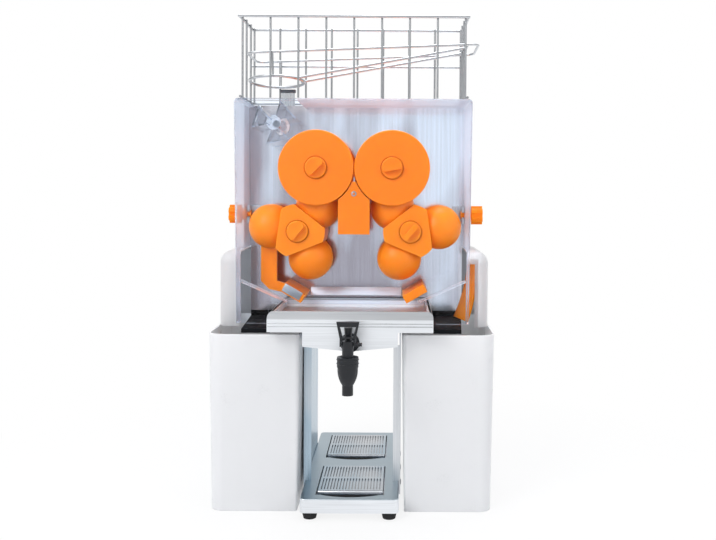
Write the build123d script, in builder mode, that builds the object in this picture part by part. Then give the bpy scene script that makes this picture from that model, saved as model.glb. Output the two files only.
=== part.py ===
"""Automatic orange juicer: separate pieces of one machine, all in one frame.

Sizes are in millimetres. X runs to the right, Y to the back and Z up, and the front faces -Y.
Depths are measured from the front edge of the base.
"""

import os
from math import atan2, cos, degrees, pi, radians, sin, sqrt, tan

from build123d import *

os.makedirs("parts", exist_ok=True)

# Shared sheet sizes and fits
sheet = 2
run_fit = 0.05
loose_fit = 0.3
seat_fit = 0.02

# Base, feet and drip grids
base_width = 154
base_depth = 370
base_corner = 8
foot_height = 12
foot_top_radius = 13
foot_bottom_radius = 10
foot_side = 62
foot_inset = 16
plate_thickness = 2
base_top = 34
well_width = 108
well_drop = 13
front_well = 20
well_gap = 48
rear_margin = 22
grid_width = 104
grid_setback = 16
grid_rise = 1.2
slot_width = 2
slot_pitch = 4.9
slot_count = 20
slot_share = 0.42
slot_margin = 4

# Stand
column_sheet = 2.5
column_front = 85
column_length = 215
column_top = 287
column_flange = 10
column_flange_top = 258
deck_thickness = 4
deck_front = 60
deck_opening = 75.5
deck_arm_side = 130

# Tank, filter and tap
tank_front = 7
tank_length = 183
tank_half = 129
tank_gap = 0.3
tank_rim = 323
tank_corner = 9
lip_run = 9
lip_drop = 13
sump_half = 74
sump_edge = 269
sump_low = 262
filter_half = 124
filter_floor = 306
filter_rim = 319
filter_slots = 22
filter_slot_pitch = 10.6
filter_slot = 3
filter_slot_length = 66
filter_slot_start = 8
tap_reach = 54
tap_bottom = 207
barrel_radius = 14.2
barrel_level = 236
stem_back = 11.5
stem_low = 282
stem_top = 306
stem_radius = 4
stem_flare = 6.5
nozzle_radius = 8.2
nozzle_top = 222
cap_low = 249
cap_top = 264
cap_radius = 16
neck_radius = 8.5
neck_top = 287.5
outlet_radius = 5.5
shank_radius = 8
shank_level = 276
shank_bore = 4.5
tap_flange_radius = 15
tap_flange = 4
nut_radius = 13
nut_thickness = 6
lever_pivot = 283
lever_pin_radius = 2
lever_ear_inner = 9.2
lever_ear_outer = 12
lever_top = 316
lever_half_top = 17
lever_half_low = 12
lever_depth = 7
lever_shoulder = 291.5
window_low = 294
window_top = 309
window_half_low = 8
window_half_top = 12

# Peel bins
bin_outer = 229
bin_inner = 81
bin_front = 36
bin_length = 270
bin_height = 283
bin_wall = 2.5
bin_taper = 0.9
bin_round = 25
bin_corner = 8

# Press chamber depths
cover_front = 72
cover_wall = 3
chamber_back = 196
chamber_plate = 3
press_middle = 147.5
drum_front = 96.5
drum_back_gap = 1.5

# Cup drums and ball rotors
drum_side = 63
drum_level = 549
drum_radius = 62.5
drum_edge = 1.8
cup_count = 4
cup_radius = 40.5
cup_offset = 61.25
gear_module = 3.5
drum_teeth = 36
rotor_teeth = 27
pinion_teeth = 18
rotor_bearing = 253.7
ball_count = 3
ball_radius = 38
ball_offset = 49.5
hub_radius = 45.5
hub_flat = 32
hub_half = 40
groove_width = 12
groove_floor = 42
shaft_radius = 9
shaft_bore_depth = 16
knob_radius = 18
knob_sink = 5
knob_gap = 1.2
knob_base = 9
knob_grip = 8
knob_grip_width = 9
knob_stem_radius = 4
knob_stem = 13
left_drum_grip = 45
right_drum_grip = 10
rotor_grip = 50

# Gear train
bearing_plate = 8
gear_gap = 4
gear_face = 12
feed_gap = 1.5
feed_face = 6
feed_module = 2
feed_drive_teeth = 36
idler_teeth = 20
feed_teeth = 27
feed_bearing = 133.5
tooth_share = 0.42
addendum = 0.8
dedendum = 1.1
flank = 20
bearing_radius = 16
seal_radius = 15
seal_thickness = 4
stud_radius = 5
pinion_bearing = 40
pinion_shaft_radius = 7
plate_half = 176
plate_low = 392
plate_high = 652
spacer_radius = 7
spacer_side = 168
spacer_low = 402
spacer_high = 645
gearbox_size = 76
gearbox_length = 40
motor_radius = 36
motor_length = 60

# Feed wheel
wheel_radius = 38.5
wheel_hub = 12
wheel_wall = 3
wheel_length = 78
wheel_socket = 30
wheel_lobe = 31.5
wheel_turn = 42.5
feed_shaft_radius = 6

# Knife and peel strippers
knife_half = 26
knife_low = 439
knife_high = 526
knife_front_gap = 2
knife_plate = 8
drum_clearance = 1.6
ball_clearance = 1.5
blade_thickness = 1.5
blade_low = 500
blade_edge = 535
stripper_thickness = 9
stripper_gap = 2
stripper_left = 160
stripper_right = 133
stripper_top = 424
stripper_low = 343
foot_x = 102
foot_z = 340
foot_length = 40
foot_width = 14
foot_tilt = 30
foot_reach = 40

# Front cover, its lugs and knobs
cover_top = 660
cover_low = 295
cover_half_top = 193
cover_half_low = 189
cover_corner = 6
cover_back_gap = 0.5
notch_half = 136
notch_top = 327
notch_corner = 10
peel_opening_top = 413
peel_opening_front = 102
feed_notch_left = 180
feed_notch_right = 92
feed_notch_front = 86
rib_outer = (184, 364)
rib_inner = (107, 330)
rib_reach = 14
knob_level = 470
knob_depth = 175
cover_shank = 4
cover_knob_radius = 16
cover_knob_collar = 9
cover_knob_tip = 219
lug_x = 184
lug_thickness = 3
lug_height = 30
lug_front = 166
lug_slot = 11
cover_foot_radius = 6.5
cover_foot = 2
lug_foot = 16

# Rear housing
housing_half = 186
housing_back = 350
housing_top = 660
housing_sheet = 1.5
housing_round = 20
housing_edge = 6
plate_split = 300
plate_wing = 200
wing_gap = 3
louvre_count = 9
louvre_pitch = 9
louvre_width = 70
louvre_height = 3.5
louvre_side = 70
louvre_level = 560
inlet_side = 110
inlet_level = 340
inlet_width = 30
inlet_height = 56
inlet_flange = 4
inlet_depth = 22
rocker_width = 13
rocker_height = 20
rocker_boss = 5

# Peel chutes and guides
chute_gap = 3
chute_setback = 4
chute_front = 104
chute_length = 158
chute_low = 285
chute_top = 411
chute_wall = 2.5
chute_round_share = 0.66
chute_edge_share = 0.58
chute_mouth_share = 0.5
guide_front = 129
guide_gap = 1
guide_sheet = 2.5
guide_lean = 8
guide_near_middle = (203, 345)
guide_near_low = (190, 291)
guide_far_middle = (189, 342)
guide_far_low = (172, 291)

# Wire basket and feed rack
basket_half = 186
basket_front = 84
basket_back = 206
basket_top = 797
rim_radius = 2.5
rail_radius = 2
wire_radius = 1.7
rail_level = 664.3
middle_level = 730
wire_count = 9
side_wires = 2
weld_gap = 0.05
ring_x = -134
ring_depth = 147
ring_radius = 46
ring_level = 696
ring_tilt = 5
rack_low = 699
rack_high = 751
rack_half = 27
rack_end = 186
guide_left = -176
guide_right = 204
guide_left_level = 736
guide_right_level = 752
guide_corner = 16
clip_side = 79
clip_size = 14
clip_height = 9
post_x = -122
post_width = 24
post_top = 689
post_foot = 16

# Derived positions
tap_front = tap_reach + cap_radius - tank_front
base_front = -(base_depth - tap_front) / 2
well_length = (base_depth - front_well - well_gap - rear_margin) / 2
rear_well = base_depth - rear_margin - well_length
grid_length = well_length - grid_setback
slot_length = slot_share * grid_length
slot_band = slot_length + 2 * slot_margin
chute_inner = housing_half + chute_gap
chute_outer = bin_outer - chute_setback
chute_width = chute_outer - chute_inner
chute_round = chute_round_share * chute_width
chute_edge = chute_edge_share * chute_width
chute_mouth = chute_inner + chute_mouth_share * chute_width
guide_back = chamber_back - guide_gap
guide_near_top = (chute_outer - chute_edge, chute_top - chute_wall - guide_gap)
guide_far_top = (guide_near_top[0] - guide_lean, guide_near_top[1])
wing_low = chute_top + wing_gap
drum_pitch = gear_module * drum_teeth / 2
rotor_pitch = gear_module * rotor_teeth / 2
rotor_distance = drum_pitch + rotor_pitch
rotor_side = drum_side - rotor_distance * cos(radians(rotor_bearing))
rotor_level = drum_level + rotor_distance * sin(radians(rotor_bearing))
cup_lead = 270 - rotor_bearing
ball_turn = rotor_bearing - 180 - cup_lead * drum_teeth / rotor_teeth
pinion_distance = gear_module * (drum_teeth + pinion_teeth) / 2
pinion_x = drum_side + pinion_distance * cos(radians(pinion_bearing))
pinion_z = drum_level + pinion_distance * sin(radians(pinion_bearing))
idler_distance = feed_module * (feed_drive_teeth + idler_teeth) / 2
feed_distance = idler_distance + feed_module * (idler_teeth + feed_teeth) / 2
idler_x = -drum_side + idler_distance * cos(radians(feed_bearing))
idler_z = drum_level + idler_distance * sin(radians(feed_bearing))
feed_x = -drum_side + feed_distance * cos(radians(feed_bearing))
feed_z = drum_level + feed_distance * sin(radians(feed_bearing))
drum_back = chamber_back - drum_back_gap
plate_back = chamber_back + chamber_plate
front_plate_back = plate_back + bearing_plate
gear_front = front_plate_back + gear_gap
feed_gear_front = gear_front + gear_face + feed_gap
rear_plate_front = feed_gear_front + feed_face + gear_gap
rear_plate_back = rear_plate_front + bearing_plate
deck_top = column_top + deck_thickness
tank_bottom = deck_top + tank_gap
ball_sweep = ball_offset + ball_radius
shafts = [
    (-drum_side, drum_level, shaft_radius),
    (drum_side, drum_level, shaft_radius),
    (-rotor_side, rotor_level, shaft_radius),
    (rotor_side, rotor_level, shaft_radius),
    (feed_x, feed_z, feed_shaft_radius),
]


def depth(distance):
    """Y of a point that lies this far behind the front edge of the base."""
    return base_front + distance


def facing(distance, x=0, z=0):
    """Plane that looks to the front, with X to the right and Z up."""
    return Plane(origin=(x, depth(distance), z), x_dir=(1, 0, 0), z_dir=(0, -1, 0))


def gear_points(teeth, module, turn):
    """Outline of a straight-flank gear with one tooth at the given turn."""
    pitch = module * teeth / 2
    tip = pitch + addendum * module
    root = pitch - dedendum * module
    half = tooth_share * pi * module / 2
    tip_half = degrees((half - addendum * module * tan(radians(flank))) / tip)
    root_half = degrees((half + dedendum * module * tan(radians(flank))) / root)
    corners = [(root, -root_half), (tip, -tip_half), (tip, tip_half), (root, root_half)]
    points = []
    for tooth in range(teeth):
        centre = turn + 360 * tooth / teeth
        for radius, aside in corners:
            angle = radians(centre + aside)
            points.append((radius * cos(angle), radius * sin(angle)))
    return points


def meshed(turn, teeth, bearing, other_teeth):
    """Turn of a gear that meshes with another one along the given bearing."""
    return bearing + 180 + 180 / other_teeth - (turn - bearing) * teeth / other_teeth


def save(piece, label):
    """Label a finished piece and write it."""
    piece.part.label = label
    export_step(piece.part, f"parts/{label}.step")


right_drum_turn = meshed(0, drum_teeth, 0, drum_teeth)
left_rotor_turn = meshed(0, drum_teeth, rotor_bearing, rotor_teeth)
right_rotor_turn = meshed(right_drum_turn, drum_teeth, 540 - rotor_bearing, rotor_teeth)
pinion_turn = meshed(right_drum_turn, drum_teeth, pinion_bearing, pinion_teeth)
idler_turn = meshed(0, feed_drive_teeth, feed_bearing, idler_teeth)
feed_turn = meshed(idler_turn, idler_teeth, feed_bearing, feed_teeth)

# Base plate, pan and feet
with BuildPart() as base_plate:
    with BuildSketch(Plane.XY.offset(foot_height)):
        with Locations((0, depth(base_depth / 2))):
            RectangleRounded(base_width, base_depth, base_corner)
    extrude(amount=plate_thickness)
save(base_plate, "base_plate")

pan_low = foot_height + plate_thickness
well_centres = [(0, depth(front_well + well_length / 2)), (0, depth(rear_well + well_length / 2))]
with BuildPart() as base_pan:
    with BuildSketch(Plane.XY.offset(pan_low)):
        with Locations((0, depth(base_depth / 2))):
            RectangleRounded(base_width, base_depth, base_corner)
    extrude(amount=base_top - pan_low)
    fillet(base_pan.edges().group_by(Axis.Z)[-1], radius=sheet)
    with BuildSketch(Plane.XY.offset(pan_low)):
        with Locations((0, depth(base_depth / 2))):
            RectangleRounded(base_width - 2 * sheet, base_depth - 2 * sheet, base_corner - sheet)
    extrude(amount=base_top - pan_low - sheet, mode=Mode.SUBTRACT)
    with BuildSketch(Plane.XY.offset(base_top - sheet)):
        with Locations(*well_centres):
            Rectangle(well_width + 2 * sheet, well_length + 2 * sheet)
    extrude(amount=-well_drop)
    with BuildSketch(Plane.XY.offset(base_top)):
        with Locations(*well_centres):
            Rectangle(well_width, well_length)
    extrude(amount=-well_drop, mode=Mode.SUBTRACT)
save(base_pan, "base_pan")

with BuildPart() as rubber_feet:
    with BuildSketch():
        with Locations((0, depth(base_depth / 2))):
            with GridLocations(2 * foot_side, base_depth - 2 * foot_inset, 2, 2):
                Circle(foot_bottom_radius)
    foot_taper = -degrees(atan2(foot_top_radius - foot_bottom_radius, foot_height))
    extrude(amount=foot_height, taper=foot_taper)
save(rubber_feet, "rubber_feet")

# Drip grids stand on the floors of the wells
grid_floor = base_top - well_drop
with BuildPart() as front_drip_grid:
    grid_centre = depth(front_well + well_length - grid_length / 2 - loose_fit)
    with Locations((0, grid_centre, grid_floor)):
        Box(grid_width, grid_length, well_drop + grid_rise, align=(Align.CENTER, Align.CENTER, Align.MIN))
    fillet(front_drip_grid.edges().group_by(Axis.Z)[-1], radius=1)
    with Locations((0, grid_centre, grid_floor)):
        Box(
            grid_width - 2 * sheet,
            grid_length - 2 * sheet,
            well_drop + grid_rise - sheet,
            align=(Align.CENTER, Align.CENTER, Align.MIN),
            mode=Mode.SUBTRACT,
        )
    with BuildSketch(Plane.XY.offset(base_top + grid_rise)):
        with Locations((0, grid_centre)):
            with GridLocations(slot_pitch, slot_band, slot_count, 2):
                Rectangle(slot_width, slot_length)
    extrude(amount=-sheet, mode=Mode.SUBTRACT)
save(front_drip_grid, "front_drip_grid")

with BuildPart() as rear_drip_grid:
    with Locations((0, rear_well - front_well, 0)):
        add(front_drip_grid.part)
save(rear_drip_grid, "rear_drip_grid")

# Columns are bolted to the sides of the base
with BuildPart() as side_columns:
    with BuildSketch(Plane.XY.offset(foot_height)):
        with Locations((base_width / 2, depth(column_front))):
            Rectangle(column_sheet, column_length, align=(Align.MIN, Align.MIN))
    extrude(amount=column_top - foot_height)
    with BuildSketch(Plane.XY.offset(base_top)):
        with Locations((base_width / 2, depth(column_front))):
            Rectangle(column_flange, column_sheet, align=(Align.MAX, Align.MIN))
    extrude(amount=column_flange_top - base_top)
    mirror(about=Plane.YZ)
save(side_columns, "side_columns")

with BuildPart() as deck_plate:
    with BuildSketch(Plane.XY.offset(column_top)):
        with Locations((0, depth(deck_front))):
            Rectangle(2 * deck_arm_side, plate_back - deck_front, align=(Align.CENTER, Align.MIN))
            Rectangle(
                2 * deck_opening,
                plate_back - deck_front,
                align=(Align.CENTER, Align.MIN),
                mode=Mode.SUBTRACT,
            )
        with Locations((0, depth(plate_back))):
            Rectangle(2 * housing_half, housing_back - plate_back, align=(Align.CENTER, Align.MIN))
    extrude(amount=deck_thickness)
save(deck_plate, "deck_plate")

# Rear housing with louvres and an opening for the power inlet
housing_length = housing_back - plate_back
with BuildPart() as rear_housing:
    with BuildSketch(Plane.XY.offset(deck_top)) as housing_outline:
        with Locations((0, depth(plate_back))):
            Rectangle(2 * housing_half, housing_length, align=(Align.CENTER, Align.MIN))
        fillet(housing_outline.vertices().group_by(Axis.Y)[-1], radius=housing_round)
    extrude(amount=housing_top - deck_top)
    top_edges = rear_housing.edges().group_by(Axis.Z)[-1]
    fillet(top_edges.sort_by(Axis.Y)[1:], radius=housing_edge)
    with BuildSketch(Plane.XY.offset(deck_top)) as housing_inside:
        with Locations((0, depth(plate_back))):
            Rectangle(
                2 * (housing_half - housing_sheet),
                housing_length - housing_sheet,
                align=(Align.CENTER, Align.MIN),
            )
        fillet(housing_inside.vertices().group_by(Axis.Y)[-1], radius=housing_round - housing_sheet)
    extrude(amount=housing_top - housing_edge - deck_top, mode=Mode.SUBTRACT)
    roof_low = housing_top - housing_edge
    with BuildSketch(Plane.XY.offset(roof_low)):
        with Locations((0, depth(plate_back))):
            Rectangle(
                2 * (housing_half - housing_edge),
                housing_length - housing_edge,
                align=(Align.CENTER, Align.MIN),
            )
    extrude(amount=housing_edge - housing_sheet, mode=Mode.SUBTRACT)
    with BuildSketch(facing(housing_back)):
        with Locations((-louvre_side, louvre_level), (louvre_side, louvre_level)):
            with GridLocations(1, louvre_pitch, 1, louvre_count):
                Rectangle(louvre_width, louvre_height)
        with Locations((inlet_side, inlet_level)):
            Rectangle(inlet_width, inlet_height)
    extrude(amount=2 * housing_sheet, mode=Mode.SUBTRACT)
save(rear_housing, "rear_housing")

# Chamber back plate, black apron below it, seals
with BuildPart() as back_plate:
    with BuildSketch(facing(chamber_back)):
        with Locations((0, (housing_top + plate_split) / 2)):
            Rectangle(2 * housing_half, housing_top - plate_split)
        with Locations((0, (housing_top + wing_low) / 2)):
            Rectangle(2 * plate_wing, housing_top - wing_low)
        for shaft_x, shaft_z, radius in shafts:
            with Locations((shaft_x, shaft_z)):
                Circle(seal_radius + seat_fit, mode=Mode.SUBTRACT)
    extrude(amount=-chamber_plate)
save(back_plate, "back_plate")

with BuildPart() as splash_apron:
    with BuildSketch(facing(chamber_back)):
        with Locations((0, (deck_top + plate_split) / 2)):
            Rectangle(2 * housing_half, plate_split - deck_top)
    extrude(amount=-chamber_plate)
save(splash_apron, "splash_apron")

with BuildPart() as shaft_seals:
    with BuildSketch(facing(plate_back)):
        for shaft_x, shaft_z, radius in shafts:
            with Locations((shaft_x, shaft_z)):
                Circle(seal_radius)
                Circle(radius + run_fit, mode=Mode.SUBTRACT)
    extrude(amount=seal_thickness)
save(shaft_seals, "shaft_seals")

# Bearing plates, bearings and spacers
plate_middle = (plate_low + plate_high) / 2
with BuildPart() as front_bearing_plate:
    with BuildSketch(facing(plate_back)):
        with Locations((0, plate_middle)):
            Rectangle(2 * plate_half, plate_high - plate_low)
        for shaft_x, shaft_z, radius in shafts:
            with Locations((shaft_x, shaft_z)):
                Circle(bearing_radius + seat_fit, mode=Mode.SUBTRACT)
    extrude(amount=-bearing_plate)
save(front_bearing_plate, "front_bearing_plate")

with BuildPart() as rear_bearing_plate:
    with BuildSketch(facing(rear_plate_front)):
        with Locations((0, plate_middle)):
            Rectangle(2 * plate_half, plate_high - plate_low)
        for shaft_x, shaft_z, radius in shafts:
            with Locations((shaft_x, shaft_z)):
                Circle(bearing_radius + seat_fit, mode=Mode.SUBTRACT)
        with Locations((pinion_x, pinion_z)):
            Circle(pinion_shaft_radius + loose_fit, mode=Mode.SUBTRACT)
    extrude(amount=-bearing_plate)
    with BuildSketch(facing(rear_plate_front, idler_x, idler_z)):
        Circle(stud_radius)
    extrude(amount=gear_gap + feed_face)
save(rear_bearing_plate, "rear_bearing_plate")

with BuildPart() as shaft_bearings:
    with BuildSketch(facing(plate_back), facing(rear_plate_front)):
        for shaft_x, shaft_z, radius in shafts:
            with Locations((shaft_x, shaft_z)):
                Circle(bearing_radius)
                Circle(radius + run_fit, mode=Mode.SUBTRACT)
    extrude(amount=-bearing_plate)
save(shaft_bearings, "shaft_bearings")

with BuildPart() as plate_spacers:
    with BuildSketch(facing(front_plate_back)):
        with Locations(
            (-spacer_side, spacer_low),
            (spacer_side, spacer_low),
            (-spacer_side, spacer_high),
            (spacer_side, spacer_high),
            (0, spacer_low),
            (0, spacer_high),
        ):
            Circle(spacer_radius)
    extrude(amount=-(rear_plate_front - front_plate_back))
save(plate_spacers, "plate_spacers")

with BuildPart() as gear_motor:
    with BuildSketch(facing(rear_plate_back, pinion_x, pinion_z)):
        RectangleRounded(gearbox_size, gearbox_size, base_corner)
        Circle(pinion_shaft_radius + run_fit, mode=Mode.SUBTRACT)
    extrude(amount=-gearbox_length)
    with BuildSketch(facing(rear_plate_back + gearbox_length, pinion_x, pinion_z)):
        Circle(motor_radius)
    extrude(amount=-motor_length)
save(gear_motor, "gear_motor")

with BuildPart() as drive_pinion:
    with BuildSketch(facing(gear_front, pinion_x, pinion_z)):
        Polygon(*gear_points(pinion_teeth, gear_module, pinion_turn), align=None)
    extrude(amount=-gear_face)
    with BuildSketch(facing(gear_front, pinion_x, pinion_z)):
        Circle(pinion_shaft_radius)
    extrude(amount=-(rear_plate_back + gearbox_length - gear_front - loose_fit))
save(drive_pinion, "drive_pinion")

with BuildPart() as feed_idler:
    with BuildSketch(facing(feed_gear_front, idler_x, idler_z)):
        Polygon(*gear_points(idler_teeth, feed_module, idler_turn), align=None)
        Circle(stud_radius + run_fit, mode=Mode.SUBTRACT)
    extrude(amount=-feed_face)
save(feed_idler, "feed_idler")

# Shafts with their gears
shaft_end = rear_plate_back - loose_fit


def cup_drum(x):
    """Cup drum around the given axis: a roller with four round cups."""
    with BuildPart() as drum:
        with BuildSketch(facing(drum_front, x, drum_level)):
            Circle(drum_radius)
        extrude(amount=-(drum_back - drum_front))
        fillet(drum.edges().filter_by(GeomType.CIRCLE), radius=drum_edge)
        with BuildSketch(facing(drum_front, x, drum_level)):
            Circle(shaft_radius + seat_fit)
        extrude(amount=-(drum_back - drum_front), mode=Mode.SUBTRACT)
        with BuildSketch(facing(drum_front, x, drum_level)):
            Circle(knob_radius + knob_gap)
        extrude(amount=-knob_sink, mode=Mode.SUBTRACT)
        with Locations(facing(press_middle, x, drum_level)):
            with PolarLocations(cup_offset, cup_count):
                Sphere(cup_radius, rotation=(0, 90, 0), mode=Mode.SUBTRACT)
    return drum


def gear_shaft(x, z, front, teeth, turn):
    """Shaft from the press to the rear bearing with a gear on it and a hole for a knob."""
    with BuildPart() as shaft:
        with BuildSketch(facing(front, x, z)):
            Circle(shaft_radius)
        extrude(amount=-(shaft_end - front))
        with BuildSketch(facing(gear_front, x, z)):
            Polygon(*gear_points(teeth, gear_module, turn), align=None)
        extrude(amount=-gear_face)
        with BuildSketch(facing(front, x, z)):
            Circle(knob_stem_radius + run_fit)
        extrude(amount=-shaft_bore_depth, mode=Mode.SUBTRACT)
    return shaft


def fixing_knob(x, z, front, grip):
    """Round knob with a grip bar across it and a stem into the shaft."""
    with BuildPart() as knob:
        with BuildSketch(facing(front - loose_fit, x, z)):
            Circle(knob_radius)
        extrude(amount=knob_base)
        fillet(knob.edges().group_by(Axis.Y)[0], radius=2)
        with BuildSketch(facing(front - loose_fit - knob_base, x, z)):
            SlotOverall(2 * knob_radius - 5, knob_grip_width, rotation=grip)
        extrude(amount=knob_grip)
        with BuildSketch(facing(front - loose_fit, x, z)):
            Circle(knob_stem_radius)
        extrude(amount=-knob_stem)
    return knob


def rotor_hub(x, turn):
    """Rotor hub with three flats that carry the balls."""
    with BuildPart() as hub:
        with BuildSketch(facing(press_middle - hub_half, x, rotor_level)):
            Circle(hub_radius)
            with PolarLocations(hub_flat, ball_count, start_angle=turn):
                Rectangle(hub_radius, 2 * hub_radius, align=(Align.MIN, Align.CENTER), mode=Mode.SUBTRACT)
            Circle(shaft_radius + seat_fit, mode=Mode.SUBTRACT)
        extrude(amount=-2 * hub_half)
        with BuildSketch(facing(press_middle - hub_half, x, rotor_level)):
            Circle(knob_radius + knob_gap)
        extrude(amount=-knob_sink, mode=Mode.SUBTRACT)
    return hub


def press_balls(x, turn):
    """Three domes on the flats of a hub, each with a groove for the stripper."""
    with BuildPart() as balls:
        with Locations(facing(press_middle, x, rotor_level)):
            with PolarLocations(ball_offset, ball_count, start_angle=turn):
                Sphere(ball_radius)
            with PolarLocations(hub_flat, ball_count, start_angle=turn):
                Box(
                    hub_flat,
                    2 * ball_radius,
                    2 * ball_radius,
                    align=(Align.MAX, Align.CENTER, Align.CENTER),
                    mode=Mode.SUBTRACT,
                )
        with BuildSketch(facing(press_middle - groove_width / 2, x, rotor_level)):
            Circle(ball_sweep + groove_width)
            Circle(groove_floor, mode=Mode.SUBTRACT)
        extrude(amount=-groove_width, mode=Mode.SUBTRACT)
    return balls


left_cup_drum = cup_drum(-drum_side)
save(left_cup_drum, "left_cup_drum")
right_cup_drum = cup_drum(drum_side)
save(right_cup_drum, "right_cup_drum")

drum_seat = drum_front + knob_sink
left_drum_shaft = gear_shaft(-drum_side, drum_level, drum_seat, drum_teeth, 0)
with BuildPart() as left_drum_train:
    add(left_drum_shaft.part)
    with BuildSketch(facing(gear_front + gear_face, -drum_side, drum_level)):
        Circle(2 * shaft_radius)
    extrude(amount=-feed_gap)
    with BuildSketch(facing(feed_gear_front, -drum_side, drum_level)):
        Polygon(*gear_points(feed_drive_teeth, feed_module, 0), align=None)
    extrude(amount=-feed_face)
save(left_drum_train, "left_drum_shaft")
right_drum_shaft = gear_shaft(drum_side, drum_level, drum_seat, drum_teeth, right_drum_turn)
save(right_drum_shaft, "right_drum_shaft")

hub_seat = press_middle - hub_half + knob_sink
left_rotor_hub = rotor_hub(-rotor_side, ball_turn)
save(left_rotor_hub, "left_rotor_hub")
right_rotor_hub = rotor_hub(rotor_side, 180 - ball_turn)
save(right_rotor_hub, "right_rotor_hub")
left_press_balls = press_balls(-rotor_side, ball_turn)
save(left_press_balls, "left_press_balls")
right_press_balls = press_balls(rotor_side, 180 - ball_turn)
save(right_press_balls, "right_press_balls")
left_rotor_shaft = gear_shaft(-rotor_side, rotor_level, hub_seat, rotor_teeth, left_rotor_turn)
save(left_rotor_shaft, "left_rotor_shaft")
right_rotor_shaft = gear_shaft(rotor_side, rotor_level, hub_seat, rotor_teeth, right_rotor_turn)
save(right_rotor_shaft, "right_rotor_shaft")

left_drum_knob = fixing_knob(-drum_side, drum_level, drum_seat, left_drum_grip)
save(left_drum_knob, "left_drum_knob")
right_drum_knob = fixing_knob(drum_side, drum_level, drum_seat, right_drum_grip)
save(right_drum_knob, "right_drum_knob")
left_rotor_knob = fixing_knob(-rotor_side, rotor_level, hub_seat, rotor_grip)
save(left_rotor_knob, "left_rotor_knob")
right_rotor_knob = fixing_knob(rotor_side, rotor_level, hub_seat, rotor_grip)
save(right_rotor_knob, "right_rotor_knob")

# Clear feed wheel with three lobes
wheel_front = press_middle - wheel_length / 2
with BuildPart() as feed_wheel:
    with BuildSketch(facing(wheel_front, feed_x, feed_z)):
        Circle(wheel_hub)
        for lobe in range(3):
            lobe_turn = wheel_turn + 120 * lobe
            near = radians(lobe_turn - wheel_lobe)
            far = radians(lobe_turn + wheel_lobe)
            near_point = (wheel_radius * cos(near), wheel_radius * sin(near))
            far_point = (wheel_radius * cos(far), wheel_radius * sin(far))
            Polygon((0, 0), near_point, far_point, align=None)
            shift = wheel_wall / sin(radians(wheel_lobe))
            shift_x = shift * cos(radians(lobe_turn))
            shift_y = shift * sin(radians(lobe_turn))
            share = 1 - (shift + wheel_wall) / (wheel_radius * cos(radians(wheel_lobe)))
            near_inner = (shift_x + share * near_point[0], shift_y + share * near_point[1])
            far_inner = (shift_x + share * far_point[0], shift_y + share * far_point[1])
            Polygon((shift_x, shift_y), near_inner, far_inner, align=None, mode=Mode.SUBTRACT)
        Circle(wheel_hub)
    extrude(amount=-wheel_length)
    with BuildSketch(facing(wheel_front + wheel_length, feed_x, feed_z)):
        Circle(feed_shaft_radius + seat_fit)
    extrude(amount=wheel_socket, mode=Mode.SUBTRACT)
save(feed_wheel, "feed_wheel")

feed_shaft_front = wheel_front + wheel_length - wheel_socket
with BuildPart() as feed_shaft:
    with BuildSketch(facing(feed_shaft_front, feed_x, feed_z)):
        Circle(feed_shaft_radius)
    extrude(amount=-(shaft_end - feed_shaft_front))
    with BuildSketch(facing(feed_gear_front, feed_x, feed_z)):
        Polygon(*gear_points(feed_teeth, feed_module, feed_turn), align=None)
    extrude(amount=-feed_face)
save(feed_shaft, "feed_shaft")

# Knife block between the drums, with its blade
knife_front = press_middle - ball_radius - knife_front_gap - knife_plate
knife_middle = (knife_low + knife_high) / 2
blade_length = chamber_back - knife_front - knife_plate
with BuildPart() as knife_block:
    with BuildSketch(facing(knife_front)):
        with Locations((0, knife_middle)):
            Rectangle(2 * knife_half, knife_high - knife_low)
        with Locations((-drum_side, drum_level), (drum_side, drum_level)):
            Circle(drum_radius + drum_clearance, mode=Mode.SUBTRACT)
    extrude(amount=-knife_plate)
    with BuildSketch(facing(knife_front + knife_plate)):
        with Locations((0, knife_middle)):
            Rectangle(2 * knife_half, knife_high - knife_low)
        with Locations((-drum_side, drum_level), (drum_side, drum_level)):
            Circle(drum_radius + drum_clearance, mode=Mode.SUBTRACT)
        with Locations((-rotor_side, rotor_level), (rotor_side, rotor_level)):
            Circle(ball_sweep + ball_clearance, mode=Mode.SUBTRACT)
    extrude(amount=-blade_length)
    with BuildSketch(facing(knife_front + knife_plate)):
        with Locations((0, blade_low)):
            Rectangle(blade_thickness + 2 * seat_fit, knife_high, align=(Align.CENTER, Align.MIN))
    extrude(amount=-blade_length, mode=Mode.SUBTRACT)
save(knife_block, "knife_block")

with BuildPart() as knife_blade:
    with BuildSketch(facing(knife_front + knife_plate)):
        blade_half = blade_thickness / 2
        blade_shoulder = blade_edge - 2 * blade_thickness
        Polygon(
            (-blade_half, blade_low),
            (blade_half, blade_low),
            (blade_half, blade_shoulder),
            (0, blade_edge),
            (-blade_half, blade_shoulder),
            align=None,
        )
    extrude(amount=-blade_length)
save(knife_blade, "knife_blade")

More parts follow.
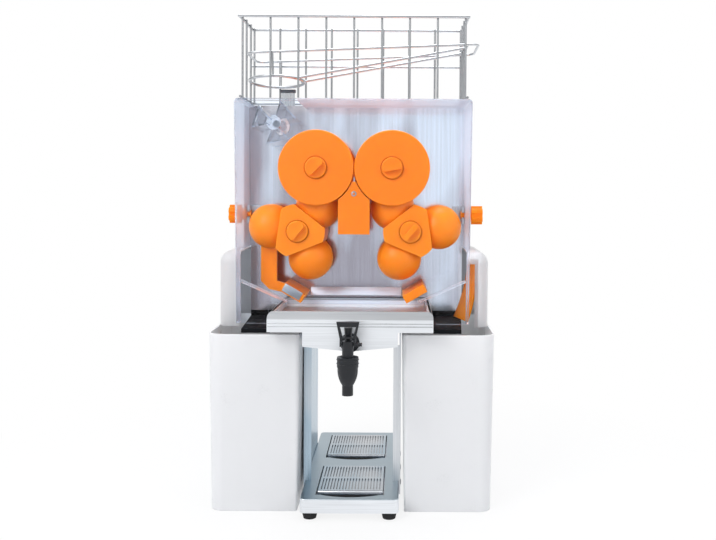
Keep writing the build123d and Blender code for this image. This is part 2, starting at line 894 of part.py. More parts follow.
# Peel stripper with a bar that runs in the grooves of the left balls, and a foot on each side
with BuildPart() as peel_strippers:
    with BuildSketch(facing(press_middle - stripper_thickness / 2)):
        Polygon(
            (-stripper_left, stripper_top),
            (-stripper_left, stripper_low + foot_width),
            (-stripper_left + foot_width, stripper_low),
            (-foot_x, foot_z - foot_width / 2),
            (-foot_x, foot_z + foot_width / 2),
            (-stripper_right, stripper_low + foot_width),
            (-stripper_right, stripper_top),
            align=None,
        )
        with Locations((-rotor_side, rotor_level)):
            Circle(hub_radius + stripper_gap, mode=Mode.SUBTRACT)
    extrude(amount=-stripper_thickness)
    with BuildSketch(facing(press_middle - foot_reach)):
        with Locations((-foot_x, foot_z)):
            Rectangle(foot_length, foot_width, rotation=-foot_tilt)
        with Locations((foot_x, foot_z)):
            Rectangle(foot_length, foot_width, rotation=foot_tilt)
    extrude(amount=-(chamber_back - press_middle + foot_reach))
save(peel_strippers, "peel_strippers")

# Clear front cover
cover_length = chamber_back - cover_back_gap - cover_front
cover_height = cover_top - cover_low
side_run = (cover_half_top - cover_half_low) / cover_height
with BuildPart() as front_cover:
    with BuildSketch(facing(cover_front)) as cover_outline:
        Polygon(
            (-cover_half_low, cover_low),
            (cover_half_low, cover_low),
            (cover_half_top, cover_top),
            (-cover_half_top, cover_top),
            align=None,
        )
        fillet(cover_outline.vertices().group_by(Axis.Y)[-1], radius=cover_corner)
    extrude(amount=-cover_length)
    fillet(front_cover.edges().group_by(Axis.Y)[0].filter_by(GeomType.LINE).sort_by(Axis.Z)[1:], radius=2)
    with BuildSketch(facing(cover_front + cover_wall)) as cover_inside:
        inside_top = cover_top - cover_wall
        Polygon(
            (-cover_half_low + cover_wall, cover_low),
            (cover_half_low - cover_wall, cover_low),
            (cover_half_top - cover_wall - side_run * cover_wall, inside_top),
            (-cover_half_top + cover_wall + side_run * cover_wall, inside_top),
            align=None,
        )
        fillet(cover_inside.vertices().group_by(Axis.Y)[-1], radius=cover_corner - cover_wall)
    extrude(amount=-cover_length, mode=Mode.SUBTRACT)
    with BuildSketch(facing(cover_front)) as cover_notch:
        with Locations((0, cover_low)):
            Rectangle(2 * notch_half, notch_top - cover_low, align=(Align.CENTER, Align.MIN))
        fillet(cover_notch.vertices().group_by(Axis.Y)[-1], radius=notch_corner)
    extrude(amount=-cover_wall, mode=Mode.SUBTRACT)
    with BuildSketch(Plane.YZ.offset(-2 * cover_half_top)):
        with Locations((depth(peel_opening_front), cover_low)):
            Rectangle(cover_length, peel_opening_top - cover_low, align=(Align.MIN, Align.MIN))
        with Locations((depth(knob_depth), knob_level)):
            Circle(cover_shank + run_fit)
    extrude(amount=4 * cover_half_top, mode=Mode.SUBTRACT)
    with BuildSketch(Plane.XY.offset(cover_top)):
        with Locations((-feed_notch_left, depth(feed_notch_front))):
            Rectangle(
                feed_notch_left - feed_notch_right,
                cover_length,
                align=(Align.MIN, Align.MIN),
            )
    extrude(amount=-2 * cover_wall, mode=Mode.SUBTRACT)
    rib_run = rib_outer[0] - rib_inner[0]
    rib_rise = rib_outer[1] - rib_inner[1]
    rib_length = sqrt(rib_run ** 2 + rib_rise ** 2)
    rib_slope = degrees(atan2(rib_rise, rib_run))
    rib_x = (rib_outer[0] + rib_inner[0]) / 2
    rib_z = (rib_outer[1] + rib_inner[1]) / 2
    with BuildSketch(facing(cover_front + cover_wall)):
        with Locations((rib_x, rib_z)):
            Rectangle(rib_length, cover_wall, rotation=rib_slope)
        with Locations((-rib_x, rib_z)):
            Rectangle(rib_length, cover_wall, rotation=-rib_slope)
    extrude(amount=-rib_reach)
save(front_cover, "front_cover")

# Lugs on the back plate, with open slots that the shanks of the cover knobs hook into
with BuildPart() as cover_lugs:
    with BuildSketch(Plane.XY.offset(knob_level - lug_height / 2)):
        with Locations((lug_x, depth(lug_front))):
            Rectangle(lug_thickness, chamber_back - lug_front, align=(Align.MIN, Align.MIN))
        with Locations((lug_x, depth(chamber_back))):
            Rectangle(lug_foot, lug_thickness, align=(Align.MAX, Align.MAX))
    extrude(amount=lug_height)
    with BuildSketch(Plane.YZ.offset(lug_x)):
        with Locations((depth(knob_depth) + lug_slot / 2, knob_level)):
            Rectangle(knob_depth, lug_slot, align=(Align.MAX, Align.CENTER))
    extrude(amount=lug_thickness, mode=Mode.SUBTRACT)
    mirror(about=Plane.YZ)
save(cover_lugs, "cover_lugs")

knob_seat = cover_half_low + side_run * (knob_level - cover_low) + loose_fit
foot_plane = lug_x - loose_fit - cover_foot
with BuildPart() as right_cover_knob:
    with BuildSketch(Plane.YZ.offset(foot_plane)):
        with Locations((depth(knob_depth), knob_level)):
            Circle(cover_foot_radius)
    extrude(amount=cover_foot)
    with BuildSketch(Plane.YZ.offset(foot_plane)):
        with Locations((depth(knob_depth), knob_level)):
            Circle(cover_shank)
    extrude(amount=knob_seat - foot_plane)
    with BuildSketch(Plane.YZ.offset(knob_seat)):
        with Locations((depth(knob_depth), knob_level)):
            Circle(cover_knob_collar)
    extrude(amount=cover_knob_collar)
    with BuildSketch(Plane.YZ.offset(knob_seat + cover_knob_collar)):
        with Locations((depth(knob_depth), knob_level)):
            Circle(cover_knob_radius)
            with PolarLocations(cover_knob_radius + 2, 6):
                Circle(5, mode=Mode.SUBTRACT)
    extrude(amount=cover_knob_tip - knob_seat - cover_knob_collar)
save(right_cover_knob, "right_cover_knob")

with BuildPart() as left_cover_knob:
    mirror(right_cover_knob.part, about=Plane.YZ)
save(left_cover_knob, "left_cover_knob")

# Juice tank: a tray with a front lip and a sump with a low middle
tank_back = tank_front + tank_length
with BuildPart() as juice_tank:
    with BuildSketch(facing(tank_front)) as tray_outline:
        with Locations((0, tank_bottom)):
            Rectangle(2 * tank_half, tank_rim - tank_bottom, align=(Align.CENTER, Align.MIN))
        fillet(tray_outline.vertices().group_by(Axis.Y)[-1], radius=tank_corner)
    extrude(amount=-tank_length)
    with BuildSketch(Plane.YZ.offset(-tank_half)):
        Polygon(
            (depth(tank_front), tank_rim),
            (depth(tank_front), tank_rim - lip_drop),
            (depth(tank_front) + lip_run, tank_rim),
            align=None,
        )
    extrude(amount=2 * tank_half, mode=Mode.SUBTRACT)
    with BuildSketch(facing(tank_front)):
        Polygon(
            (-sump_half, tank_bottom + sheet),
            (-sump_half, sump_edge),
            (0, sump_low),
            (sump_half, sump_edge),
            (sump_half, tank_bottom + sheet),
            align=None,
        )
    extrude(amount=-tank_length)
    tray_inside = depth(tank_front) + lip_run + sheet
    tray_floor = tank_bottom + sheet
    with BuildSketch(Plane.XY.offset(tray_floor)):
        with Locations((0, tray_inside)):
            Rectangle(
                2 * (tank_half - sheet),
                depth(tank_back) - sheet - tray_inside,
                align=(Align.CENTER, Align.MIN),
            )
    extrude(amount=tank_rim - tray_floor, mode=Mode.SUBTRACT)
    with BuildSketch(facing(tank_front + sheet)):
        Polygon(
            (-sump_half + sheet, tray_floor),
            (-sump_half + sheet, sump_edge + sheet),
            (0, sump_low + sheet),
            (sump_half - sheet, sump_edge + sheet),
            (sump_half - sheet, tray_floor),
            align=None,
        )
    extrude(amount=-(tank_length - 2 * sheet), mode=Mode.SUBTRACT)
    with BuildSketch(facing(tank_front)):
        with Locations((0, shank_level)):
            Circle(shank_radius + seat_fit)
    extrude(amount=-sheet, mode=Mode.SUBTRACT)
save(juice_tank, "juice_tank")

filter_front = tank_front + lip_run + sheet + loose_fit
filter_length = tank_back - sheet - loose_fit - filter_front
with BuildPart() as juice_filter:
    with BuildSketch(Plane.XY.offset(tray_floor)):
        with Locations((0, depth(filter_front))):
            Rectangle(2 * filter_half, filter_length, align=(Align.CENTER, Align.MIN))
    extrude(amount=filter_rim - tray_floor)
    filter_middle = depth(filter_front + filter_length / 2)
    with BuildSketch(Plane.XY.offset(tray_floor)):
        with Locations((0, filter_middle)):
            Rectangle(2 * (filter_half - sheet), filter_length - 2 * sheet)
    extrude(amount=filter_floor - tray_floor, mode=Mode.SUBTRACT)
    with BuildSketch(Plane.XY.offset(filter_floor + sheet)):
        with Locations((0, filter_middle)):
            Rectangle(2 * (filter_half - sheet), filter_length - 2 * sheet)
    extrude(amount=filter_rim - filter_floor, mode=Mode.SUBTRACT)
    with BuildSketch(Plane.XY.offset(filter_floor)):
        with Locations((0, depth(filter_front + filter_slot_start))):
            with GridLocations(filter_slot_pitch, 1, filter_slots, 1):
                Rectangle(filter_slot, filter_slot_length, align=(Align.CENTER, Align.MIN))
    extrude(amount=sheet, mode=Mode.SUBTRACT)
save(juice_filter, "juice_filter")

# Tap: body with its stem, inner nut and lever
tap_depth = tank_front - tap_reach
with BuildPart() as tap_body:
    with BuildSketch(facing(tap_depth)):
        with BuildLine():
            Polyline((nozzle_radius, nozzle_top), (nozzle_radius, tap_bottom), (0, tap_bottom), (0, neck_top))
            Polyline((0, neck_top), (neck_radius, neck_top), (neck_radius, cap_top), (cap_radius, cap_top))
            Polyline((cap_radius, cap_top), (cap_radius, cap_low), (cap_radius - 1, cap_low))
            ThreePointArc((cap_radius - 1, cap_low), (barrel_radius, barrel_level), (nozzle_radius, nozzle_top))
        make_face()
    revolve(axis=Axis((0, depth(tap_depth), 0), (0, 0, 1)))
    with Locations((0, depth(tap_depth + stem_back), stem_low)):
        Cone(stem_radius, stem_flare, stem_top - stem_low, align=(Align.CENTER, Align.CENTER, Align.MIN))
    with BuildSketch(facing(tap_depth)):
        with Locations((0, shank_level)):
            Circle(shank_radius)
    extrude(amount=-(tap_reach + 2 * sheet + nut_thickness))
    with BuildSketch(facing(tank_front - tap_flange)):
        with Locations((0, shank_level)):
            Circle(tap_flange_radius)
    extrude(amount=-tap_flange)
    with BuildSketch(Plane.XY.offset(tap_bottom)):
        with Locations((0, depth(tap_depth))):
            Circle(outlet_radius)
    extrude(amount=shank_level - tap_bottom, mode=Mode.SUBTRACT)
    with BuildSketch(facing(tap_depth)):
        with Locations((0, shank_level)):
            Circle(shank_bore)
    extrude(amount=-(tap_reach + 2 * sheet + nut_thickness), mode=Mode.SUBTRACT)
    with BuildSketch(Plane.YZ.offset(-2 * neck_radius)):
        with Locations((depth(tap_depth), lever_pivot + loose_fit)):
            Circle(lever_pin_radius + run_fit)
    extrude(amount=4 * neck_radius, mode=Mode.SUBTRACT)
save(tap_body, "tap_body")

with BuildPart() as tap_nut:
    with BuildSketch(facing(tank_front + sheet)):
        with Locations((0, shank_level)):
            RegularPolygon(nut_radius, 6)
            Circle(shank_radius + seat_fit, mode=Mode.SUBTRACT)
    extrude(amount=-nut_thickness)
save(tap_nut, "tap_nut")

with BuildPart() as tap_lever:
    with BuildSketch(facing(tap_depth - lever_depth / 2)):
        Polygon(
            (-lever_half_low, lever_shoulder),
            (lever_half_low, lever_shoulder),
            (lever_half_top, lever_top),
            (-lever_half_top, lever_top),
            align=None,
        )
        Polygon(
            (-window_half_low, window_low),
            (window_half_low, window_low),
            (window_half_top, window_top),
            (-window_half_top, window_top),
            align=None,
            mode=Mode.SUBTRACT,
        )
        ear_width = lever_ear_outer - lever_ear_inner
        with Locations((-lever_ear_outer, lever_shoulder), (lever_ear_inner, lever_shoulder)):
            Rectangle(ear_width, lever_shoulder - lever_pivot + lever_depth / 2, align=(Align.MIN, Align.MAX))
    extrude(amount=-lever_depth)
    with BuildSketch(Plane.YZ.offset(-lever_ear_outer)):
        with Locations((depth(tap_depth), lever_pivot + loose_fit)):
            Circle(lever_pin_radius)
    extrude(amount=2 * lever_ear_outer)
save(tap_lever, "tap_lever")

# Peel bins
with BuildPart() as right_peel_bin:
    with BuildSketch(Plane.XY.offset(bin_height)) as bin_outline:
        with Locations((bin_inner, depth(bin_front))):
            Rectangle(bin_outer - bin_inner, bin_length, align=(Align.MIN, Align.MIN))
        fillet(bin_outline.vertices().group_by(Axis.X)[-1], radius=bin_round)
        fillet(bin_outline.vertices().group_by(Axis.X)[0], radius=bin_corner)
    extrude(amount=-bin_height, taper=bin_taper)
    with BuildSketch(Plane.XY.offset(bin_height)) as bin_inside:
        with Locations((bin_inner + bin_wall, depth(bin_front) + bin_wall)):
            Rectangle(
                bin_outer - bin_inner - 2 * bin_wall,
                bin_length - 2 * bin_wall,
                align=(Align.MIN, Align.MIN),
            )
        fillet(bin_inside.vertices().group_by(Axis.X)[-1], radius=bin_round - bin_wall)
        fillet(bin_inside.vertices().group_by(Axis.X)[0], radius=bin_corner - bin_wall)
    extrude(amount=bin_wall - bin_height, taper=bin_taper, mode=Mode.SUBTRACT)
save(right_peel_bin, "right_peel_bin")

with BuildPart() as left_peel_bin:
    mirror(right_peel_bin.part, about=Plane.YZ)
save(left_peel_bin, "left_peel_bin")

# Peel chutes on the sides of the housing: the right one is open in front and has a curved guide
with BuildPart() as chute_inside:
    with BuildSketch(Plane.XY.offset(chute_low)) as chute_hollow:
        with Locations((chute_outer - chute_wall, depth(chute_front) + chute_wall)):
            Rectangle(
                chute_outer - chute_inner,
                chute_length - 2 * chute_wall,
                align=(Align.MAX, Align.MIN),
            )
        hollow_front = chute_hollow.vertices().group_by(Axis.Y)[0].sort_by(Axis.X)[-1]
        fillet(hollow_front, radius=chute_round - chute_wall)
    extrude(amount=chute_top - chute_wall - chute_low)
    hollow_top = chute_inside.edges().group_by(Axis.Z)[-1]
    fillet(hollow_top.sort_by(Axis.X)[-1], radius=chute_edge - chute_wall)

with BuildPart() as peel_chute:
    with BuildSketch(Plane.XY.offset(chute_low)) as chute_outline:
        with Locations((chute_inner, depth(chute_front))):
            Rectangle(chute_outer - chute_inner, chute_length, align=(Align.MIN, Align.MIN))
        outline_front = chute_outline.vertices().group_by(Axis.Y)[0].sort_by(Axis.X)[-1]
        fillet(outline_front, radius=chute_round)
    extrude(amount=chute_top - chute_low)
    chute_rim = peel_chute.edges().group_by(Axis.Z)[-1]
    fillet(chute_rim.sort_by(Axis.X)[-1], radius=chute_edge)
    add(chute_inside.part, mode=Mode.SUBTRACT)
    chute_back = chute_front + chute_length
    chute_seat = plate_back + 2 * chute_wall
    with BuildSketch(Plane.XY.offset(chute_top - chute_wall)):
        with Locations((housing_half, depth(chute_seat))):
            Rectangle(chute_inner - housing_half, chute_back - chute_seat, align=(Align.MIN, Align.MIN))
    extrude(amount=chute_wall)
    with BuildSketch(facing(chute_back - chute_wall)):
        with Locations((housing_half, chute_low + deck_thickness + chute_wall)):
            Rectangle(
                chute_inner - housing_half,
                chute_top - chute_low - deck_thickness - chute_wall,
                align=(Align.MIN, Align.MIN),
            )
    extrude(amount=-chute_wall)

with BuildPart() as right_peel_chute:
    add(peel_chute.part)
    with BuildSketch(facing(chute_front)):
        with Locations((chute_inner, chute_low)):
            Rectangle(
                chute_mouth - chute_inner,
                chute_top - chute_low - chute_wall,
                align=(Align.MIN, Align.MIN),
            )
    extrude(amount=-chute_wall, mode=Mode.SUBTRACT)
save(right_peel_chute, "right_peel_chute")

with BuildPart() as left_peel_chute:
    mirror(peel_chute.part, about=Plane.YZ)
save(left_peel_chute, "left_peel_chute")

with BuildPart() as right_peel_guide:
    with BuildSketch(facing(guide_front)):
        with BuildLine():
            near_arc = ThreePointArc(guide_near_top, guide_near_middle, guide_near_low)
            offset(near_arc, amount=guide_sheet, side=Side.LEFT, closed=True)
        make_face()
    with BuildSketch(facing(guide_back)):
        with BuildLine():
            far_arc = ThreePointArc(guide_far_top, guide_far_middle, guide_far_low)
            offset(far_arc, amount=guide_sheet, side=Side.LEFT, closed=True)
        make_face()
    loft()
save(right_peel_guide, "right_peel_guide")

# Power inlet with its switch, on the back
inlet_inside = housing_back - housing_sheet - inlet_depth
rocker_z = inlet_level + inlet_height / 4
socket_z = inlet_level - inlet_height / 4
with BuildPart() as power_inlet:
    with BuildSketch(facing(housing_back, inlet_side, inlet_level)):
        RectangleRounded(inlet_width + 2 * inlet_flange, inlet_height + 2 * inlet_flange, inlet_flange)
    extrude(amount=-sheet)
    with BuildSketch(facing(housing_back, inlet_side, inlet_level)):
        Rectangle(inlet_width - loose_fit, inlet_height - loose_fit)
    extrude(amount=inlet_depth)
    with BuildSketch(facing(housing_back + sheet)):
        with Locations((inlet_side, socket_z)):
            RectangleRounded(inlet_width - 6, inlet_height / 2 - 8, 3)
        with Locations((inlet_side, rocker_z)):
            Rectangle(rocker_width + 2 * loose_fit, rocker_height + 2 * loose_fit)
    extrude(amount=inlet_depth - 4, mode=Mode.SUBTRACT)
    with BuildSketch(facing(housing_back + sheet + 4 - inlet_depth)):
        with Locations((inlet_side - 7, socket_z), (inlet_side, socket_z + 3), (inlet_side + 7, socket_z)):
            Rectangle(2, 5)
    extrude(amount=-(inlet_depth - 10))
save(power_inlet, "power_inlet")

with BuildPart() as power_rocker:
    rocker_pivot = depth(housing_back - 4)
    with BuildSketch(Plane.YZ.offset(inlet_side - rocker_width / 2)):
        Polygon(
            (rocker_pivot - 4, rocker_z - 4),
            (rocker_pivot + 6, rocker_z - rocker_height / 2 + 1),
            (rocker_pivot + 7.5, rocker_z),
            (rocker_pivot + 9.5, rocker_z + rocker_height / 2 - 1),
            (rocker_pivot - 4, rocker_z + 4),
            align=None,
        )
        with Locations((rocker_pivot, rocker_z)):
            Circle(rocker_boss)
    extrude(amount=rocker_width)
save(power_rocker, "power_rocker")


# Wire basket: four panels of wires that touch at their welds
def rod(x, distance, z, radius, length, direction):
    """Round wire from a point along a direction."""
    with Locations(Plane(origin=(x, depth(distance), z), z_dir=direction)):
        Cylinder(radius, length, align=(Align.CENTER, Align.CENTER, Align.MIN))


rim_level = basket_top - rim_radius
wire_inset = rim_radius + wire_radius + weld_gap
rail_shift = rim_radius - rail_radius
wire_low = rail_level - rail_radius
wire_length = basket_top - 1 - wire_low
wire_half = basket_half - wire_inset
wire_step = 2 * wire_half / (wire_count - 1)
side_step = (basket_back - basket_front) / (side_wires + 1)
rim_reach = basket_half + rim_radius

with BuildPart() as basket_front_panel:
    rod(-rim_reach, basket_front, rim_level, rim_radius, 2 * rim_reach, (1, 0, 0))
    for wire in range(wire_count):
        wire_x = -wire_half + wire * wire_step
        rod(wire_x, basket_front + wire_inset, wire_low, wire_radius, wire_length, (0, 0, 1))
save(basket_front_panel, "basket_front_panel")

with BuildPart() as basket_back_panel:
    rod(-rim_reach, basket_back, rim_level, rim_radius, 2 * rim_reach, (1, 0, 0))
    rod(-rim_reach, basket_back - rail_shift, rail_level, rail_radius, 2 * rim_reach, (1, 0, 0))
    rod(-rim_reach, basket_back - rail_shift, middle_level, rail_radius, 2 * rim_reach, (1, 0, 0))
    for wire in range(wire_count):
        wire_x = -wire_half + wire * wire_step
        rod(wire_x, basket_back - wire_inset, wire_low, wire_radius, wire_length, (0, 0, 1))
save(basket_back_panel, "basket_back_panel")

with BuildPart() as basket_right_side:
    side_start = basket_front + rim_radius + weld_gap
    side_length = basket_back - basket_front - 2 * (rim_radius + weld_gap)
    rod(basket_half, side_start, rim_level, rim_radius, side_length, (0, 1, 0))
    rod(basket_half - rail_shift, side_start, rail_level, rail_radius, side_length, (0, 1, 0))
    for wire in range(side_wires):
        wire_depth = basket_front + (wire + 1) * side_step
        rod(wire_half, wire_depth, wire_low, wire_radius, wire_length, (0, 0, 1))
save(basket_right_side, "basket_right_side")

with BuildPart() as basket_left_side:
    mirror(basket_right_side.part, about=Plane.YZ)
save(basket_left_side, "basket_left_side")

# Feed rack: ring, two rolling rails and a guide loop of one wire
guide_run = guide_right - guide_left
guide_rise = guide_right_level - guide_left_level
guide_front_depth = basket_front + wire_inset + wire_radius + rail_radius + weld_gap
guide_back_depth = basket_back - wire_inset - wire_radius - rail_radius - weld_gap
guide_middle_depth = (guide_front_depth + guide_back_depth) / 2
ring_drop = ring_radius * sin(radians(ring_tilt))
ring_span = ring_radius * cos(radians(ring_tilt))


def guide_height(x):
    """Height of the guide loop at the given X."""
    return guide_left_level + guide_rise * (x - guide_left) / guide_run


with BuildPart() as feed_rack:
    ring_plane = Plane(
        origin=(ring_x, depth(ring_depth), ring_level),
        x_dir=(1, 0, 0),
        z_dir=(0, sin(radians(ring_tilt)), cos(radians(ring_tilt))),
    )
    with Locations(ring_plane):
        Torus(ring_radius, rim_radius)
    rack_start = ring_x + sqrt(ring_radius ** 2 - rack_half ** 2)
    rack_run = rack_end - rack_start
    rack_direction = (rack_run, 0, rack_high - rack_low)
    rack_length = sqrt(rack_run ** 2 + (rack_high - rack_low) ** 2)
    for rail_depth in (ring_depth - rack_half, ring_depth + rack_half):
        rod(rack_start, rail_depth, rack_low, rail_radius, rack_length, rack_direction)
    loop_plane = Plane(
        origin=((guide_left + guide_right) / 2, depth(guide_middle_depth), guide_height((guide_left + guide_right) / 2)),
        x_dir=(guide_run, 0, guide_rise),
        z_dir=(-guide_rise, 0, guide_run),
    )
    loop_half = sqrt(guide_run ** 2 + guide_rise ** 2) / 2
    loop_side = (guide_back_depth - guide_front_depth) / 2
    with BuildLine(loop_plane) as loop_line:
        FilletPolyline(
            (loop_half, -loop_side),
            (loop_half, loop_side),
            (-loop_half, loop_side),
            (-loop_half, -loop_side),
            radius=guide_corner,
            close=True,
        )
    with BuildSketch(Plane(origin=loop_line.line @ 0, z_dir=loop_line.line % 0)):
        Circle(rail_radius)
    sweep()
    rod(
        rack_end,
        guide_front_depth,
        guide_height(rack_end),
        rail_radius,
        guide_back_depth - guide_front_depth,
        (0, 1, 0),
    )
    hanger_top = guide_height(ring_x)
    front_fall = (0, ring_depth - ring_span - guide_front_depth, ring_level + ring_drop - hanger_top)
    back_fall = (0, ring_depth + ring_span - guide_back_depth, ring_level - ring_drop - hanger_top)
    front_hanger = sqrt(front_fall[1] ** 2 + front_fall[2] ** 2)
    back_hanger = sqrt(back_fall[1] ** 2 + back_fall[2] ** 2)
    rod(ring_x, guide_front_depth, hanger_top, wire_radius, front_hanger, front_fall)
    rod(ring_x, guide_back_depth, hanger_top, wire_radius, back_hanger, back_fall)
save(feed_rack, "feed_rack")

# Clips for the basket and the post under the ring, on top of the housing
with BuildPart() as basket_clips:
    rail_depth = basket_back - rail_shift
    with Locations((-clip_side, depth(rail_depth), housing_top), (clip_side, depth(rail_depth), housing_top)):
        Box(clip_size, clip_size - 2, clip_height, align=(Align.CENTER, Align.CENTER, Align.MIN))
    groove_low = rail_level - rail_radius - loose_fit
    with Locations((-clip_side, depth(rail_depth), groove_low), (clip_side, depth(rail_depth), groove_low)):
        Box(
            clip_size,
            2 * (rail_radius + loose_fit),
            clip_height,
            align=(Align.CENTER, Align.CENTER, Align.MIN),
            mode=Mode.SUBTRACT,
        )
save(basket_clips, "basket_clips")

with BuildPart() as ramp_post:
    with Locations((post_x, depth(plate_back), housing_top)):
        Box(post_width, sheet, post_top - housing_top, align=(Align.CENTER, Align.MIN, Align.MIN))
        Box(post_width, post_foot, sheet / 2, align=(Align.CENTER, Align.MIN, Align.MIN))
save(ramp_post, "ramp_post")
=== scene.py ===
"""Looks of an automatic orange juicer: finishes for its CAD pieces, small fittings and a stage."""

import math

import bmesh
import bpy
from bpy.props import FloatProperty, FloatVectorProperty, PointerProperty
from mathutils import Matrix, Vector


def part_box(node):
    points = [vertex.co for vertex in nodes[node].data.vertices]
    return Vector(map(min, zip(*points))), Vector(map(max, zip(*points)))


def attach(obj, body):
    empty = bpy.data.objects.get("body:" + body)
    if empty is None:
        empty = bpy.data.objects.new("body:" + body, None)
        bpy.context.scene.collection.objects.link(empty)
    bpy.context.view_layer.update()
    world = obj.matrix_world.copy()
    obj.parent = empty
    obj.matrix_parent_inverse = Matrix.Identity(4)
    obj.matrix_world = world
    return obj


bl_info = {
    "name": "Orange juicer looks",
    "version": (1, 0, 0),
    "blender": (4, 5, 0),
    "location": "View3D > Sidebar > Juicer",
    "description": "Gives a juicer's CAD pieces their finishes and small fittings",
    "category": "Object",
}

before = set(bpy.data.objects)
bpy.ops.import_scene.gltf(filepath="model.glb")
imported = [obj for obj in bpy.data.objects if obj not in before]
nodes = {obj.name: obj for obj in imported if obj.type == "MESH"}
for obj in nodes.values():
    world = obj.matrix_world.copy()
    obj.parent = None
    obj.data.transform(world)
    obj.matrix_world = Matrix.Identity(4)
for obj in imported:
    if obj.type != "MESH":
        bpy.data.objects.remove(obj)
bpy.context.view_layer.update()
MM = 0.001
FRONT = Vector((0, -1, 0))
BACK = Vector((0, 1, 0))
LEFT = Vector((-1, 0, 0))
RIGHT = Vector((1, 0, 0))
UP = Vector((0, 0, 1))

# The photograph's frame, and where its camera stood
FRAME_WIDTH = 716
FRAME_HEIGHT = 540
FOCAL_PIXELS = 849.9
AXIS_PIXEL = (401, 212.7)
SENSOR_MM = 36
CAMERA_PLACE = (75.3, -1456.7, 506.5)
CAMERA_PITCH = 0.0222
CAMERA_ROLL = 0.006
CAMERA_YAW = -0.0018

# Heights and places of fittings in millimetres, as the photograph shows them
RING_LEVELS = (254.5, 260.5)
BEAD_LEVELS = (305, 300.5)
TANK_LIP_LEVEL = 310.5
LEDGE_GAP = 4
# the deck wings' front and tip: black sheets of painted shade beside the tank
WING_FRONT = -110.5
WING_TIP = 175
SCRAPER_X = -102
SCRAPER_LEVEL = 342.5

# Smaller sizes of the fittings in millimetres, and their shares of larger ones
KNIFE_SCREW_HEIGHT = 2.4
SCREW_HEIGHT = 2.2
PANEL_SCREW_SIDE = 26
PANEL_SCREW_END = 14
COLUMN_SCREW_LEVEL = 11
COLUMN_SCREW_END = 30
RING_SQUASH = 0.7
PIN_X = 15
PIN_LENGTH = 7
PIN_RIM = 0.6
PIN_WING = 2.5
PIN_WING_SHAPE = (1, 0.45, 1.25)
PIN_EDGE = 0.4
BEAD_SHORTER = 2
BEAD_EDGE_SHARE = 0.4
LEDGE_DEPTH_SHARE = 0.35
LEDGE_WIDTH_SHARE = 0.62
LEDGE_FRONT_SHARE = 0.16
LEDGE_EDGE = 0.8
SCRAPER_SIZE = (33, 1.6, 14)
SCRAPER_EDGE = 0.5
SCRAPER_OUT = 0.6
LIP_SHORTER = 1
LIP_EDGE_SHARE = 0.4
GRID_SHEET = 2
GRID_SHEET_SINK = 0.5
GRID_SHEET_THICK = 0.8
GRID_SHEET_FALL = 0.8
GRID_SHEET_PLAY = 1
GRID_SHEET_EDGE = 0.2
# the dark inlay in front of each grid, painted shade of its finger recess
RECESS_SHARE = 0.86
RECESS_DEPTH = 10
RECESS_GAP = 15.6
RECESS_THICK = 0.8
RECESS_RIM = 0.8
RECESS_DISH = 0.25
# gaps and fold of the deck wings, black sheets of painted shade
WING_TANK_GAP = 0.4
WING_OUTER_GAP = 0.6
WING_FOLD = 1.5
WING_BIN_GAP = 1.5
WING_EDGE = 0.4
CAP_WIDER = 3
CAP_DEPTH = 5
CAP_OUT = 1
CAP_EDGE = 1.2

# Angles in degrees: the scraper's slope, and the angle below which an edge is shaded smooth
SCRAPER_TILT = 30
SMOOTH_ANGLE = 40

# What the darker parts of the room leave of the steel's own tone, as painted shade
TANK_LIP_TINT = "BFBFBF"
PAN_TOP_TINT = "ADBAC0"

# Axes that the lines of a ground metal may run along, and how far apart a belt's lines are drawn
ACROSS, DEEP, UPRIGHT = 0, 1, 2
BELT_LINE = 1.1

# Distance between two rings of a wave texture at a scale of 1
WAVE_RING = math.tau / 20

# The studio: lengths in metres, and each lamp's name, place, width and watts
FLOOR_SIZE = 12
FLOOR_DROP = 0.0004
FILL_TINT = "F9FBFF"
FILL_STRENGTH = 0.64
LAMP_TARGET = Vector((0, 0, 0.4))
LAMPS = (
    ("key_lamp", Vector((-1.5, -1.9, 1.9)), 1.6, 32),
    ("fill_lamp", Vector((1.9, -1.5, 1.2)), 1.6, 9),
    ("top_lamp", Vector((0.1, 0.3, 2.4)), 1.4, 20),
)


def linear(code):
    """Linear colour of an sRGB hex value."""
    shades = [int(code[start : start + 2], 16) / 255 for start in (0, 2, 4)]
    return [s / 12.92 if s <= 0.04045 else ((s + 0.055) / 1.055) ** 2.4 for s in shades]


def opaque(code):
    """Linear colour of an sRGB hex value, with full opacity."""
    return [*linear(code), 1]


def per_mm(size):
    """Texture scale at which one feature is this many millimetres wide."""
    return 1000 / size


def colour(label, text, code):
    """A colour that a user may change, with its default as an sRGB hex value."""
    return FloatVectorProperty(
        name=label, description=text, subtype="COLOR", size=3, default=linear(code)
    )


def length(label, text, millimetres):
    """A length that a user may change, with its default in millimetres."""
    return FloatProperty(
        name=label, description=text, default=millimetres * MM, unit="LENGTH", precision=4
    )


class JuicerColours(bpy.types.PropertyGroup):
    """Colours of the juicer's finishes."""

    orange: colour("Orange plastic", "Drums, their knobs and the knife block", "FC7E0A")
    light_orange: colour("Light orange plastic", "Rotors, strippers, guide, cover knobs", "FE860D")
    white: colour("Bin white", "Peel bins", "F6F7F9")
    grey: colour("Chute grey", "Peel chutes", "DCDDDF")
    black: colour("Tap black", "Tap, power inlet and, darker, deck and apron", "191C21")
    steel: colour("Stainless steel", "Sheet metal, wires and shafts", "C8CBCF")
    # painted reflection: the darker bands stand for the room and the drums mirrored in the back
    # plate
    band: colour("Plate bands", "Darker bands in the buffed back plate", "9D9699")
    column: colour("Column shade", "Cool shade in the columns and drip grids", "A6B9C7")
    aluminium: colour("Plate aluminium", "Bearing plates", "C9CBCC")
    paint: colour("Motor paint", "Gear motor", "4A5058")
    floor: colour("Floor", "Floor and backdrop", "F4F4F5")


